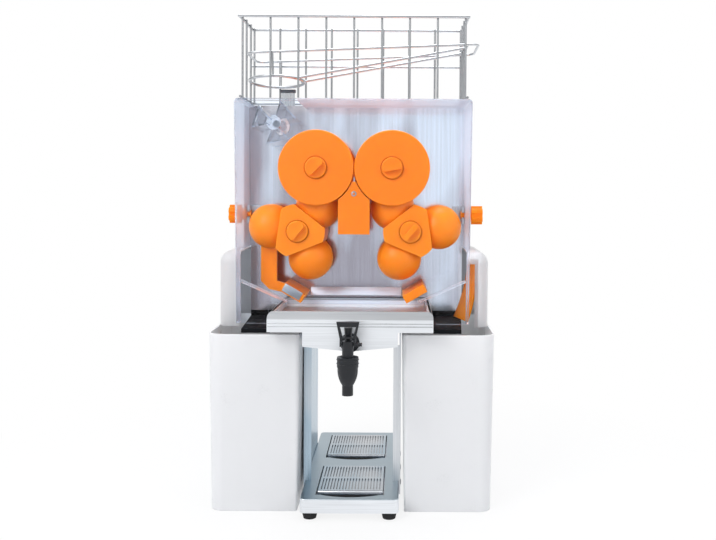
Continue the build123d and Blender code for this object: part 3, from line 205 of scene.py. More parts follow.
class JuicerSizes(bpy.types.PropertyGroup):
    """Sizes of the fittings that are added to the CAD pieces."""

    knife_screw: length("Knife screw", "Radius of the screw head on the knife block", 4.6)
    knife_screw_level: length("Knife screw level", "Height of the screw above the counter", 506)
    panel_screw: length("Panel screw", "Radius of the screw heads on the housing", 4)
    column_screw: length("Column screw", "Radius of the screw heads on the stand", 4.5)
    grip_ring: length("Grip ring", "Thickness of the rings on the tap", 0.9)
    post_cap: length("Post cap", "Height of the cap on the feed post", 6)
    tank_bead: length("Tank bead", "Height of the beads along the tank's lip", 1.2)
    pin_head: length("Tap pin head", "Radius of the head on the tap lever's pin", 3)
    ledge: length("Drip ledge", "Height of the ledge at the foot of the back plate", 15)
    grid_lip: length("Grid lip", "Radius of the rolled front edge of a drip grid", 2.2)


def colours():
    """The colours as they are set in the scene."""
    return bpy.context.scene.juicer_colours


def sizes():
    """The sizes as they are set in the scene."""
    return bpy.context.scene.juicer_sizes


def add(tree, kind, settings=None, links=None):
    """Add a node, set its values by socket or attribute name and link its inputs."""
    made = tree.nodes.new(kind)
    sockets = {socket.identifier: socket for socket in made.inputs}
    for key, value in (settings or {}).items():
        if key in sockets:
            sockets[key].default_value = value
        elif key in made.inputs:
            made.inputs[key].default_value = value
        else:
            setattr(made, key, value)
    for key, source in (links or {}).items():
        tree.links.new(source, sockets.get(key) or made.inputs[key])
    return made


def new_material(name):
    """An empty node material, its tree and its Object coordinates."""
    material = bpy.data.materials.new(name)
    material.use_nodes = True
    tree = material.node_tree
    tree.nodes.clear()
    place = add(tree, "ShaderNodeTexCoord").outputs["Object"]
    return material, tree, place


def shade(tone, factor):
    """A linear colour made darker or lighter, with full opacity."""
    return [min(1, part * factor) for part in tone[:3]] + [1]


def brushed_stainless(name, run, line_mm, roughness, tone, band=None, lip=None, slant=None):
    """Stainless sheet ground with a belt: soft reflections drawn out along fine straight lines.

    The real lines are about 0.1 mm apart, which is too fine to show, so they are drawn wider.
    Roughness is its lowest and highest value. Band is the colour of the soft bands, painted
    reflections of the room in a sheet that isn't quite flat. Lip is a height in millimetres above
    which the sheet faces a darker part of the room, and the painted shade that this gives it.
    Slant is how much paler a sheet gets per metre along each axis, a painted fall of light, and
    its value at the middle.
    """
    material, tree, place = new_material(name)
    steel = colours().steel
    along = [per_mm(line_mm)] * 3
    along[run] = per_mm(line_mm * 90)
    stretch = add(tree, "ShaderNodeMapping", {"Scale": along}, {"Vector": place})
    lines = add(
        tree,
        "ShaderNodeTexNoise",
        {"Scale": 1, "Detail": 3},
        {"Vector": stretch.outputs[0]},
    )
    wide = [per_mm(70)] * 3
    wide[run] = per_mm(260)
    spread = add(tree, "ShaderNodeMapping", {"Scale": wide}, {"Vector": place})
    clouds = add(
        tree,
        "ShaderNodeTexNoise",
        {"Scale": 1, "Detail": 2},
        {"Vector": spread.outputs[0]},
    )
    # painted light: the sheet grows paler along the slant, and the clouds lay soft bands of painted
    # reflection in the band colour
    paler, middle = slant or ([0, 0, 0], 0)
    across = add(
        tree,
        "ShaderNodeVectorMath",
        {"operation": "DOT_PRODUCT", "Vector_001": paler},
        {"Vector": place},
    )
    drift = add(
        tree,
        "ShaderNodeMath",
        {"operation": "ADD"},
        {"Value": clouds.outputs[0], "Value_001": across.outputs["Value"]},
    )
    bands = add(
        tree,
        "ShaderNodeMapRange",
        {"From Min": middle + 0.36, "From Max": middle + 0.64},
        {"Value": drift.outputs[0]},
    )
    ground = add(
        tree,
        "ShaderNodeMix",
        {
            "data_type": "RGBA",
            "A_Color": shade(band or steel, tone * 0.9),
            "B_Color": shade(steel, tone),
        },
        {"Factor_Float": bands.outputs[0]},
    )
    veil = add(
        tree,
        "ShaderNodeMapRange",
        {"From Min": 0.3, "From Max": 0.7, "To Min": 0.88, "To Max": 1},
        {"Value": lines.outputs[0]},
    )
    tint = add(
        tree,
        "ShaderNodeMix",
        {"data_type": "RGBA", "blend_type": "MULTIPLY", "Factor_Float": 1},
        {"A_Color": ground.outputs[2], "B_Color": veil.outputs[0]},
    )
    # painted shade where the sheet faces the darker room, above the lip's height
    if lip:
        level, lip_tint = lip
        height = add(tree, "ShaderNodeSeparateXYZ", {}, {"Vector": place})
        fold = add(
            tree,
            "ShaderNodeMapRange",
            {"From Min": (level - 1) * MM, "From Max": (level + 1) * MM},
            {"Value": height.outputs["Z"]},
        )
        tint = add(
            tree,
            "ShaderNodeMix",
            {"data_type": "RGBA", "blend_type": "MULTIPLY", "B_Color": opaque(lip_tint)},
            {"Factor_Float": fold.outputs[0], "A_Color": tint.outputs[2]},
        )
    mixed = add(
        tree,
        "ShaderNodeMath",
        {"operation": "MULTIPLY_ADD", "Value_001": 0.55},
        {"Value": lines.outputs[0], "Value_002": clouds.outputs[0]},
    )
    rough = add(
        tree,
        "ShaderNodeMapRange",
        {"From Min": 0.45, "From Max": 1.15, "To Min": roughness[0], "To Max": roughness[1]},
        {"Value": mixed.outputs[0]},
    )
    bump = add(
        tree,
        "ShaderNodeBump",
        {"Strength": 0.12, "Distance": 0.05 * MM},
        {"Height": lines.outputs[0]},
    )
    shader = add(
        tree,
        "ShaderNodeBsdfPrincipled",
        {"Metallic": 1},
        {"Base Color": tint.outputs[2], "Roughness": rough.outputs[0], "Normal": bump.outputs[0]},
    )
    add(tree, "ShaderNodeOutputMaterial", {}, {"Surface": shader.outputs[0]})
    return material


def bright_drawn_wire():
    """Stainless wire, drawn and electropolished: bright, with short dull streaks along it.

    Sides that face up or down get a painted reflection of a white ceiling or floor, so that
    level wires look paler than upright ones.
    """
    material, tree, place = new_material("Bright drawn stainless wire")
    steel = colours().steel
    streaks = add(tree, "ShaderNodeTexNoise", {"Scale": per_mm(9), "Detail": 3}, {"Vector": place})
    dull = add(
        tree,
        "ShaderNodeMix",
        {"data_type": "RGBA", "A_Color": shade(steel, 0.42), "B_Color": shade(steel, 0.54)},
        {"Factor_Float": streaks.outputs[0]},
    )
    # painted reflection: the wire is paler where its side faces up or down
    surface = add(tree, "ShaderNodeNewGeometry")
    side = add(tree, "ShaderNodeSeparateXYZ", {}, {"Vector": surface.outputs["Normal"]})
    steep = add(tree, "ShaderNodeMath", {"operation": "ABSOLUTE"}, {"Value": side.outputs["Z"]})
    level = add(
        tree,
        "ShaderNodeMapRange",
        {"From Min": 0.1, "From Max": 0.5},
        {"Value": steep.outputs[0]},
    )
    tint = add(
        tree,
        "ShaderNodeMix",
        {"data_type": "RGBA", "B_Color": shade(steel, 1.25)},
        {"Factor_Float": level.outputs[0], "A_Color": dull.outputs[2]},
    )
    rough = add(
        tree,
        "ShaderNodeMapRange",
        {"From Min": 0.3, "From Max": 0.7, "To Min": 0.3, "To Max": 0.42},
        {"Value": streaks.outputs[0]},
    )
    shader = add(
        tree,
        "ShaderNodeBsdfPrincipled",
        {"Metallic": 1},
        {"Base Color": tint.outputs[2], "Roughness": rough.outputs[0]},
    )
    add(tree, "ShaderNodeOutputMaterial", {}, {"Surface": shader.outputs[0]})
    return material


def moulded_plastic(name, base, roughness, grain_mm, grain_height, flow, ior=1.5, glow=0):
    """Injection moulded plastic: an even colour with faint flow marks and a fine eroded grain.

    The real grain is about 0.05 mm wide, which is too fine to show, so it is drawn wider.
    Roughness is its lowest and highest value, and flow the strength of the marks. An IOR below
    the plastic's own takes off gloss. Glow is the share of light that the wall lets through.
    """
    material, tree, place = new_material(name)
    marks = add(tree, "ShaderNodeTexNoise", {"Scale": per_mm(46), "Detail": 3}, {"Vector": place})
    grain = add(
        tree,
        "ShaderNodeTexNoise",
        {"Scale": per_mm(grain_mm), "Detail": 2},
        {"Vector": place},
    )
    tint = add(
        tree,
        "ShaderNodeMix",
        {"data_type": "RGBA", "A_Color": shade(base, 1 - flow), "B_Color": shade(base, 1 + flow)},
        {"Factor_Float": marks.outputs[0]},
    )
    mixed = add(
        tree,
        "ShaderNodeMath",
        {"operation": "MULTIPLY_ADD", "Value_001": 0.6},
        {"Value": grain.outputs[0], "Value_002": marks.outputs[0]},
    )
    rough = add(
        tree,
        "ShaderNodeMapRange",
        {"From Min": 0.5, "From Max": 1.1, "To Min": roughness[0], "To Max": roughness[1]},
        {"Value": mixed.outputs[0]},
    )
    bump = add(
        tree,
        "ShaderNodeBump",
        {"Strength": 0.25, "Distance": grain_height * MM},
        {"Height": grain.outputs[0]},
    )
    shader = add(
        tree,
        "ShaderNodeBsdfPrincipled",
        {
            "IOR": ior,
            "Subsurface Weight": glow,
            "Subsurface Radius": [1, 1, 1],
            "Subsurface Scale": 12 * MM,
        },
        {"Base Color": tint.outputs[2], "Roughness": rough.outputs[0], "Normal": bump.outputs[0]},
    )
    add(tree, "ShaderNodeOutputMaterial", {}, {"Surface": shader.outputs[0]})
    return material


def clear_acrylic(name, ior, roughest, coat, haze, flat):
    """Clear moulded acrylic: edges that catch the light, and marks from wiping.

    The real marks are fine as hair, so they are drawn as soft streaks 6 mm wide. Roughest is the
    roughness in them and coat the share of gloss. Haze is the share of light that is lost at a
    flat angle, where it has a long way through the wall, and flat is the tint there.
    """
    material, tree, place = new_material(name)
    wiped = add(
        tree,
        "ShaderNodeMapping",
        {"Scale": [per_mm(60), per_mm(60), per_mm(6)]},
        {"Vector": place},
    )
    wipes = add(
        tree,
        "ShaderNodeTexNoise",
        {"Scale": 1, "Detail": 4},
        {"Vector": wiped.outputs[0]},
    )
    rough = add(
        tree,
        "ShaderNodeMapRange",
        {"From Min": 0.35, "From Max": 0.75, "To Min": 0, "To Max": roughest},
        {"Value": wipes.outputs[0]},
    )
    facing = add(tree, "ShaderNodeLayerWeight", {"Blend": 0.5})
    through = add(
        tree,
        "ShaderNodeMapRange",
        {"From Min": 0.6, "From Max": 0.95, "To Min": 1, "To Max": 1 - haze},
        {"Value": facing.outputs["Facing"]},
    )
    along = add(
        tree,
        "ShaderNodeMapRange",
        {"From Min": 0.5, "From Max": 0.9},
        {"Value": facing.outputs["Facing"]},
    )
    tint = add(
        tree,
        "ShaderNodeMix",
        {"data_type": "RGBA", "A_Color": opaque("F3F8FF"), "B_Color": opaque(flat)},
        {"Factor_Float": along.outputs[0]},
    )
    shader = add(
        tree,
        "ShaderNodeBsdfPrincipled",
        {"IOR": ior, "Coat Weight": coat},
        {
            "Base Color": tint.outputs[2],
            "Roughness": rough.outputs[0],
            "Transmission Weight": through.outputs[0],
        },
    )
    # thin clear walls throw almost no shadow, so rays to the lamps pass straight through
    passing = add(tree, "ShaderNodeBsdfTransparent", {"Color": opaque("F8F9FA")})
    path = add(tree, "ShaderNodeLightPath")
    mixed = add(
        tree,
        "ShaderNodeMixShader",
        {},
        {
            "Fac": path.outputs["Is Shadow Ray"],
            "Shader": shader.outputs[0],
            "Shader_001": passing.outputs[0],
        },
    )
    add(tree, "ShaderNodeOutputMaterial", {}, {"Surface": mixed.outputs[0]})
    return material


def moulded_rubber():
    """Moulded rubber: dark and dull, with a dusty bloom in patches."""
    material, tree, place = new_material("Moulded black rubber")
    bloom = add(tree, "ShaderNodeTexNoise", {"Scale": per_mm(7), "Detail": 4}, {"Vector": place})
    tint = add(
        tree,
        "ShaderNodeMix",
        {"data_type": "RGBA", "A_Color": opaque("161618"), "B_Color": opaque("303031")},
        {"Factor_Float": bloom.outputs[0]},
    )
    bump = add(
        tree,
        "ShaderNodeBump",
        {"Strength": 0.3, "Distance": 0.2 * MM},
        {"Height": bloom.outputs[0]},
    )
    shader = add(
        tree,
        "ShaderNodeBsdfPrincipled",
        {"Roughness": 0.72, "IOR": 1.3},
        {"Base Color": tint.outputs[2], "Normal": bump.outputs[0]},
    )
    add(tree, "ShaderNodeOutputMaterial", {}, {"Surface": shader.outputs[0]})
    return material


def milled_aluminium():
    """Milled aluminium plate: pale grey with soft rings from a fly cutter, 37.7 mm apart."""
    material, tree, place = new_material("Milled aluminium plate")
    base = colours().aluminium
    rings = add(
        tree,
        "ShaderNodeTexWave",
        {
            "wave_type": "RINGS",
            "Scale": per_mm(37.7) * WAVE_RING,
            "Distortion": 1.5,
            "Detail": 2,
        },
        {"Vector": place},
    )
    tint = add(
        tree,
        "ShaderNodeMix",
        {"data_type": "RGBA", "A_Color": shade(base, 0.85), "B_Color": shade(base, 1)},
        {"Factor_Float": rings.outputs[1]},
    )
    bump = add(
        tree,
        "ShaderNodeBump",
        {"Strength": 0.1, "Distance": 0.1 * MM},
        {"Height": rings.outputs[1]},
    )
    shader = add(
        tree,
        "ShaderNodeBsdfPrincipled",
        {"Metallic": 1, "Roughness": 0.38},
        {"Base Color": tint.outputs[2], "Normal": bump.outputs[0]},
    )
    add(tree, "ShaderNodeOutputMaterial", {}, {"Surface": shader.outputs[0]})
    return material


def make_metals():
    """The finishes of the metal pieces by their short names."""
    tones = colours()
    pan_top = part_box("base_pan")[1].z / MM - 1
    return {
        # belt ground sheet: the lines run across the front
        "sheet_across": brushed_stainless(
            "Belt ground stainless sheet across",
            ACROSS,
            BELT_LINE,
            roughness=(0.26, 0.4),
            tone=1.55,
        ),
        # the same sheet with its lines running up
        "sheet_upright": brushed_stainless(
            "Belt ground stainless sheet upright",
            UPRIGHT,
            BELT_LINE,
            roughness=(0.24, 0.36),
            tone=1.08,
        ),
        # the stand's sheet, with painted cool shade on the left, where it mirrors the shaded side
        # of the room
        "column": brushed_stainless(
            "Belt ground stainless column",
            UPRIGHT,
            BELT_LINE,
            roughness=(0.24, 0.36),
            tone=1.25,
            band=tones.column,
            slant=([1.75, 0, 0], 0),
        ),
        # the same sheet with its lines running front to back, and soft bands of painted cool shade
        "sheet_deep": brushed_stainless(
            "Belt ground stainless sheet deep",
            DEEP,
            BELT_LINE,
            roughness=(0.22, 0.36),
            tone=1,
            band=tones.column,
        ),
        # buffed sheet: a soft mirror, with painted reflections in uneven upright bands that the
        # drums tint, paler to the right and up
        "mirror": brushed_stainless(
            "Buffed stainless sheet",
            UPRIGHT,
            line_mm=3.2,
            roughness=(0.1, 0.22),
            tone=1.58,
            band=tones.band,
            slant=([0.7, 0, 0.6], 0.29),
        ),
        # the tank is the same sheet as the base, with painted shade on its sloped lip, where it
        # mirrors the dark chamber
        "tank": brushed_stainless(
            "Belt ground stainless tank",
            ACROSS,
            BELT_LINE,
            roughness=(0.26, 0.4),
            tone=1.55,
            lip=(TANK_LIP_LEVEL, TANK_LIP_TINT),
        ),
        # the base is the same sheet, with a painted reflection on its flat top, where it mirrors
        # the dark underside of the tank
        "pan": brushed_stainless(
            "Belt ground stainless base",
            ACROSS,
            BELT_LINE,
            roughness=(0.26, 0.4),
            tone=1.55,
            lip=(pan_top, PAN_TOP_TINT),
        ),
        # blasted sheet: dull, without lines that the eye can find, and pale from all sides
        "filter": brushed_stainless(
            "Bead blasted stainless sheet", ACROSS, line_mm=0.4, roughness=(0.5, 0.62), tone=1.5
        ),
        # ground bar: the lines run along the shaft, and it is a little darker
        "shaft": brushed_stainless(
            "Ground stainless bar", DEEP, line_mm=0.8, roughness=(0.25, 0.35), tone=0.85
        ),
        "wire": bright_drawn_wire(),
        "aluminium": milled_aluminium(),
    }


def make_plastics():
    """The finishes of the plastic, rubber and painted pieces by their short names."""
    tones = colours()
    # acrylonitrile butadiene styrene for food: even orange with a satin skin
    satin_abs = dict(
        roughness=(0.34, 0.48), grain_mm=0.7, grain_height=0.05, flow=0.05, ior=1.32, glow=0.6
    )
    return {
        "orange": moulded_plastic("Moulded orange ABS", tones.orange, **satin_abs),
        # the same plastic, a little lighter and yellower
        "light_orange": moulded_plastic(
            "Moulded light orange ABS", tones.light_orange, **satin_abs
        ),
        # high impact polystyrene: white, smooth, with a soft shine
        "white": moulded_plastic(
            "Moulded white polystyrene",
            tones.white,
            roughness=(0.26, 0.38),
            grain_mm=1.6,
            grain_height=0.04,
            flow=0.012,
            glow=0.55,
        ),
        # polypropylene: pale grey and waxy, and it lets some light through
        "grey": moulded_plastic(
            "Moulded grey polypropylene",
            tones.grey,
            roughness=(0.36, 0.5),
            grain_mm=1.1,
            grain_height=0.06,
            flow=0.02,
            glow=0.7,
        ),
        # acetal: near black with a low shine that shows the edges
        "black": moulded_plastic(
            "Moulded black acetal",
            tones.black,
            roughness=(0.28, 0.42),
            grain_mm=0.8,
            grain_height=0.06,
            flow=0.12,
            ior=1.42,
        ),
        # nylon: dark grey and dull
        "nylon": moulded_plastic(
            "Moulded grey nylon",
            shade(tones.paint, 1.3),
            roughness=(0.45, 0.6),
            grain_mm=0.8,
            grain_height=0.06,
            flow=0.08,
        ),
        # powder coat: black and dull, at half the black's tone as painted shade, which keeps the
        # gaps beside the tank and the finger recesses dark
        "coat": moulded_plastic(
            "Powder coated black sheet in painted shade",
            shade(tones.black, 0.5),
            roughness=(0.6, 0.74),
            grain_mm=0.6,
            grain_height=0.08,
            flow=0.1,
            ior=1.2,
        ),
        # silicone for food: milky white and soft
        "silicone": moulded_plastic(
            "Moulded white silicone",
            tones.white,
            roughness=(0.5, 0.62),
            grain_mm=1.2,
            grain_height=0.05,
            flow=0.02,
        ),
        # stove enamel: dark grey with a hard shine
        "paint": moulded_plastic(
            "Stove enamelled motor case",
            tones.paint,
            roughness=(0.3, 0.42),
            grain_mm=1.4,
            grain_height=0.08,
            flow=0.08,
        ),
        # a thin wall bends the light less than acrylic's 1.49 would, as its faces are parallel
        "clear": clear_acrylic(
            "Clear acrylic cover",
            ior=1.04,
            roughest=0.05,
            coat=0.12,
            haze=0.62,
            flat="EAF2FD",
        ),
        # a thick moulding: bright and dark facets
        "wheel": clear_acrylic(
            "Clear acrylic wheel",
            ior=1.49,
            roughest=0.03,
            coat=0.9,
            haze=0.45,
            flat="BCC0C8",
        ),
        "rubber": moulded_rubber(),
    }


FINISHES = {}

NODE_FINISHES = {
    "sheet_across": ("base_plate",),
    "pan": ("base_pan",),
    "tank": ("juice_tank",),
    "filter": ("juice_filter", "feed_shaft"),
    "sheet_deep": ("front_drip_grid", "rear_drip_grid"),
    "sheet_upright": ("rear_housing", "cover_lugs", "basket_clips", "ramp_post"),
    "column": ("side_columns",),
    "mirror": ("back_plate", "knife_blade"),
    "wire": (
        "basket_front_panel",
        "basket_back_panel",
        "basket_left_side",
        "basket_right_side",
        "feed_rack",
    ),
    "shaft": (
        "shaft_bearings",
        "plate_spacers",
        "left_drum_shaft",
        "right_drum_shaft",
        "left_rotor_shaft",
        "right_rotor_shaft",
        "feed_idler",
        "drive_pinion",
    ),
    "orange": (
        "left_cup_drum",
        "right_cup_drum",
        "left_drum_knob",
        "right_drum_knob",
        "knife_block",
    ),
    "light_orange": (
        "left_rotor_hub",
        "right_rotor_hub",
        "left_press_balls",
        "right_press_balls",
        "left_rotor_knob",
        "right_rotor_knob",
        "peel_strippers",
        "right_peel_guide",
        "left_cover_knob",
        "right_cover_knob",
    ),
    "white": ("left_peel_bin", "right_peel_bin"),
    "grey": ("left_peel_chute", "right_peel_chute"),
    "coat": ("deck_plate", "splash_apron"),
    "black": ("tap_body", "tap_nut", "tap_lever", "power_inlet", "power_rocker"),
    "clear": ("front_cover",),
    "wheel": ("feed_wheel",),
    "rubber": ("rubber_feet",),
    "silicone": ("shaft_seals",),
    "aluminium": ("front_bearing_plate", "rear_bearing_plate"),
    "paint": ("gear_motor",),
}


def clear_selection():
    """Leave nothing selected, so that the next operator acts on the new piece alone."""
    if bpy.context.mode != "OBJECT":
        bpy.ops.object.mode_set(mode="OBJECT")
    bpy.ops.object.select_all(action="DESELECT")


def edit():
    """Edit the active piece, with nothing selected in it."""
    bpy.ops.object.mode_set(mode="EDIT")
    bpy.ops.mesh.select_mode(type="FACE")
    bpy.ops.mesh.select_all(action="DESELECT")


def pick_faces(test):
    """Select the faces of the piece in edit mode that pass a test."""
    mesh = bmesh.from_edit_mesh(bpy.context.object.data)
    for face in mesh.faces:
        face.select_set(test(face))
    bmesh.update_edit_mesh(bpy.context.object.data)


def looks_ahead(face):
    """Whether a face points to the front."""
    return face.normal.y < -0.9


def add_box(size, place):
    """Add a box as the active piece, with its size in its mesh."""
    clear_selection()
    bpy.ops.mesh.primitive_cube_add(size=1, location=place)
    box = bpy.context.object
    box.scale = size
    bpy.ops.object.transform_apply(location=False, rotation=False, scale=True)
    return box


def round_edges(offset, segments):
    """Round all edges of the piece in edit mode."""
    bpy.ops.mesh.select_all(action="SELECT")
    bpy.ops.mesh.bevel(offset=offset, segments=segments, affect="EDGES")


def join_pieces(pieces):
    """Join pieces into the first of them, which is left active."""
    clear_selection()
    for piece in pieces:
        piece.select_set(True)
    bpy.context.view_layer.objects.active = pieces[0]
    if len(pieces) > 1:
        bpy.ops.object.join()


def finish_piece(name, body, finish):
    """Name the active piece, fix its place in its mesh, and give it its body and finish."""
    piece = bpy.context.object
    if bpy.context.mode != "OBJECT":
        bpy.ops.object.mode_set(mode="OBJECT")
    bpy.ops.object.transform_apply(location=True, rotation=True, scale=True)
    bpy.ops.object.shade_smooth_by_angle(angle=math.radians(SMOOTH_ANGLE))
    piece.name = name
    piece.data.name = name
    piece.data.materials.clear()
    piece.data.materials.append(FINISHES[finish])
    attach(piece, body)


def model_screw_head(radius, height):
    """Model a domed screw head with a round socket, its top towards +Z, at the origin."""
    dome = height * 0.6
    rim = radius * 0.16
    socket = height * 0.55
    clear_selection()
    bpy.ops.mesh.primitive_cylinder_add(
        vertices=24, radius=radius, depth=height, location=(0, 0, height / 2)
    )
    edit()
    pick_faces(lambda face: face.normal.z > 0.9)
    bpy.ops.mesh.bevel(offset=dome, segments=4, affect="EDGES")
    pick_faces(lambda face: face.normal.z > 0.99)
    bpy.ops.mesh.inset(thickness=rim)
    bpy.ops.mesh.extrude_region_move(TRANSFORM_OT_translate={"value": (0, 0, -socket)})
    bpy.ops.object.mode_set(mode="OBJECT")
    return bpy.context.object


def copy_piece(original):
    """A copy of a piece with its own mesh, selected alone and active."""
    clear_selection()
    twin = original.copy()
    twin.data = original.data.copy()
    bpy.context.collection.objects.link(twin)
    twin.select_set(True)
    bpy.context.view_layer.objects.active = twin
    return twin


def set_screws(name, radius, height, places, facing):
    """Set a group of equal screw heads at places on a surface, all facing one way, as one piece."""
    head = model_screw_head(radius, height)
    turn = UP.rotation_difference(facing).to_euler()
    heads = [head] + [copy_piece(head) for _ in places[1:]]
    for screw, place in zip(heads, places):
        screw.rotation_euler = turn
        screw.location = place
    join_pieces(heads)
    finish_piece(name, "frame", "shaft")


class JuicerFinishes(bpy.types.Operator):
    """Give every CAD piece the finish of its real material"""

    bl_idname = "juicer.finishes"
    bl_label = "Finish the CAD pieces"

    def execute(self, context):
        FINISHES.update(make_metals())
        FINISHES.update(make_plastics())
        for finish, names in NODE_FINISHES.items():
            for name in names:
                mesh = nodes[name].data
                mesh.materials.clear()
                mesh.materials.append(FINISHES[finish])
        bare = set(nodes) - {name for names in NODE_FINISHES.values() for name in names}
        if bare:
            raise RuntimeError(f"no finish for {sorted(bare)}")
        return {"FINISHED"}


class JuicerScrews(bpy.types.Operator):
    """Set the screws of the knife block, the housing and the stand"""

    bl_idname = "juicer.screws"
    bl_label = "Set the screws"

    def execute(self, context):
        knife_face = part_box("knife_block")[0].y
        knife_place = Vector((0, knife_face, sizes().knife_screw_level))
        height = KNIFE_SCREW_HEIGHT * MM
        set_screws("knife_screw", sizes().knife_screw, height, [knife_place], FRONT)
        height = SCREW_HEIGHT * MM
        low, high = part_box("rear_housing")
        side, end = PANEL_SCREW_SIDE * MM, PANEL_SCREW_END * MM
        levels = (low.z + end, (low.z + high.z) / 2, high.z - end)
        places = [Vector((x, high.y, z)) for x in (low.x + side, high.x - side) for z in levels]
        set_screws("panel_screws", sizes().panel_screw, height, places, BACK)
        low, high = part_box("side_columns")
        level = low.z + COLUMN_SCREW_LEVEL * MM
        end = COLUMN_SCREW_END * MM
        run = (low.y + end, (low.y + high.y) / 2, high.y - end)
        for name, x, facing in (("left", low.x, LEFT), ("right", high.x, RIGHT)):
            places = [Vector((x, y, level)) for y in run]
            set_screws(f"{name}_column_screws", sizes().column_screw, height, places, facing)
        return {"FINISHED"}


class JuicerTapRings(bpy.types.Operator):
    """Turn the two grip rings on the tap's cap"""

    bl_idname = "juicer.tap_rings"
    bl_label = "Turn the tap rings"

    def execute(self, context):
        low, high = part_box("tap_body")
        radius = high.x
        axis_y = low.y + radius
        lower_level, upper_level = RING_LEVELS
        clear_selection()
        bpy.ops.mesh.primitive_torus_add(
            location=(0, axis_y, lower_level * MM),
            major_radius=radius,
            minor_radius=sizes().grip_ring,
            major_segments=48,
            minor_segments=10,
        )
        lower = bpy.context.object
        lower.scale.z = RING_SQUASH
        upper = copy_piece(lower)
        upper.location.z = upper_level * MM
        join_pieces([lower, upper])
        finish_piece("tap_grip_rings", "tank", "black")
        return {"FINISHED"}


class JuicerTapPin(bpy.types.Operator):
    """Put the wing-shaped head on the pin that the tap's lever turns on"""

    bl_idname = "juicer.tap_pin"
    bl_label = "Head the tap pin"

    def execute(self, context):
        low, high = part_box("tap_lever")
        pivot = low.z + sizes().pin_head
        clear_selection()
        bpy.ops.mesh.primitive_cylinder_add(
            vertices=24,
            radius=sizes().pin_head,
            depth=PIN_LENGTH * MM,
            location=(PIN_X * MM, (low.y + high.y) / 2, pivot),
            rotation=(0, math.pi / 2, 0),
        )
        edit()
        pick_faces(lambda face: face.normal.z > 0.9)
        bpy.ops.mesh.inset(thickness=PIN_RIM * MM)
        bpy.ops.mesh.extrude_region_move(TRANSFORM_OT_translate={"value": (PIN_WING * MM, 0, 0)})
        bpy.ops.transform.resize(value=PIN_WING_SHAPE)
        round_edges(PIN_EDGE * MM, 2)
        finish_piece("tap_pin_head", "tap_lever", "black")
        return {"FINISHED"}


class JuicerTankBeads(bpy.types.Operator):
    """Fold the two fine beads along the front of the tank's lip"""

    bl_idname = "juicer.tank_beads"
    bl_label = "Fold the tank beads"

    def execute(self, context):
        low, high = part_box("juice_tank")
        rise = sizes().tank_bead
        size = (high.x - low.x - BEAD_SHORTER * MM, 2 * rise, rise)
        beads = []
        for level in BEAD_LEVELS:
            beads.append(add_box(size, (0, low.y, level * MM)))
            edit()
            round_edges(BEAD_EDGE_SHARE * rise, 3)
            bpy.ops.object.mode_set(mode="OBJECT")
        join_pieces(beads)
        finish_piece("tank_beads", "tank", "shaft")
        return {"FINISHED"}


class JuicerDripLedge(bpy.types.Operator):
    """Fold the bright ledge at the foot of the back plate that leads the juice into the tank"""

    bl_idname = "juicer.drip_ledge"
    bl_label = "Fold the drip ledge"

    def execute(self, context):
        plate_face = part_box("back_plate")[0].y
        tank_low, tank_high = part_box("juice_tank")
        rise = sizes().ledge
        run = LEDGE_DEPTH_SHARE * rise
        foot = tank_high.z + LEDGE_GAP * MM
        width = LEDGE_WIDTH_SHARE * (tank_high.x - tank_low.x)
        add_box((width, run, rise), (0, plate_face - run / 2, foot + rise / 2))
        edit()
        pick_faces(looks_ahead)
        bpy.ops.transform.resize(
            value=(1, 1, LEDGE_FRONT_SHARE),
            center_override=(0, plate_face - run, foot),
        )
        round_edges(LEDGE_EDGE * MM, 3)
        finish_piece("drip_ledge", "frame", "filter")
        return {"FINISHED"}


class JuicerScraper(bpy.types.Operator):
    """Set the steel scraper on the front of the left stripper's foot"""

    bl_idname = "juicer.scraper"
    bl_label = "Set the scraper"

    def execute(self, context):
        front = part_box("peel_strippers")[0].y
        plate = add_box(Vector(SCRAPER_SIZE) * MM, (0, 0, 0))
        edit()
        round_edges(SCRAPER_EDGE * MM, 2)
        bpy.ops.object.mode_set(mode="OBJECT")
        plate.rotation_euler = (0, math.radians(SCRAPER_TILT), 0)
        plate.location = (SCRAPER_X * MM, front - SCRAPER_OUT * MM, SCRAPER_LEVEL * MM)
        finish_piece("left_scraper", "frame", "shaft")
        return {"FINISHED"}


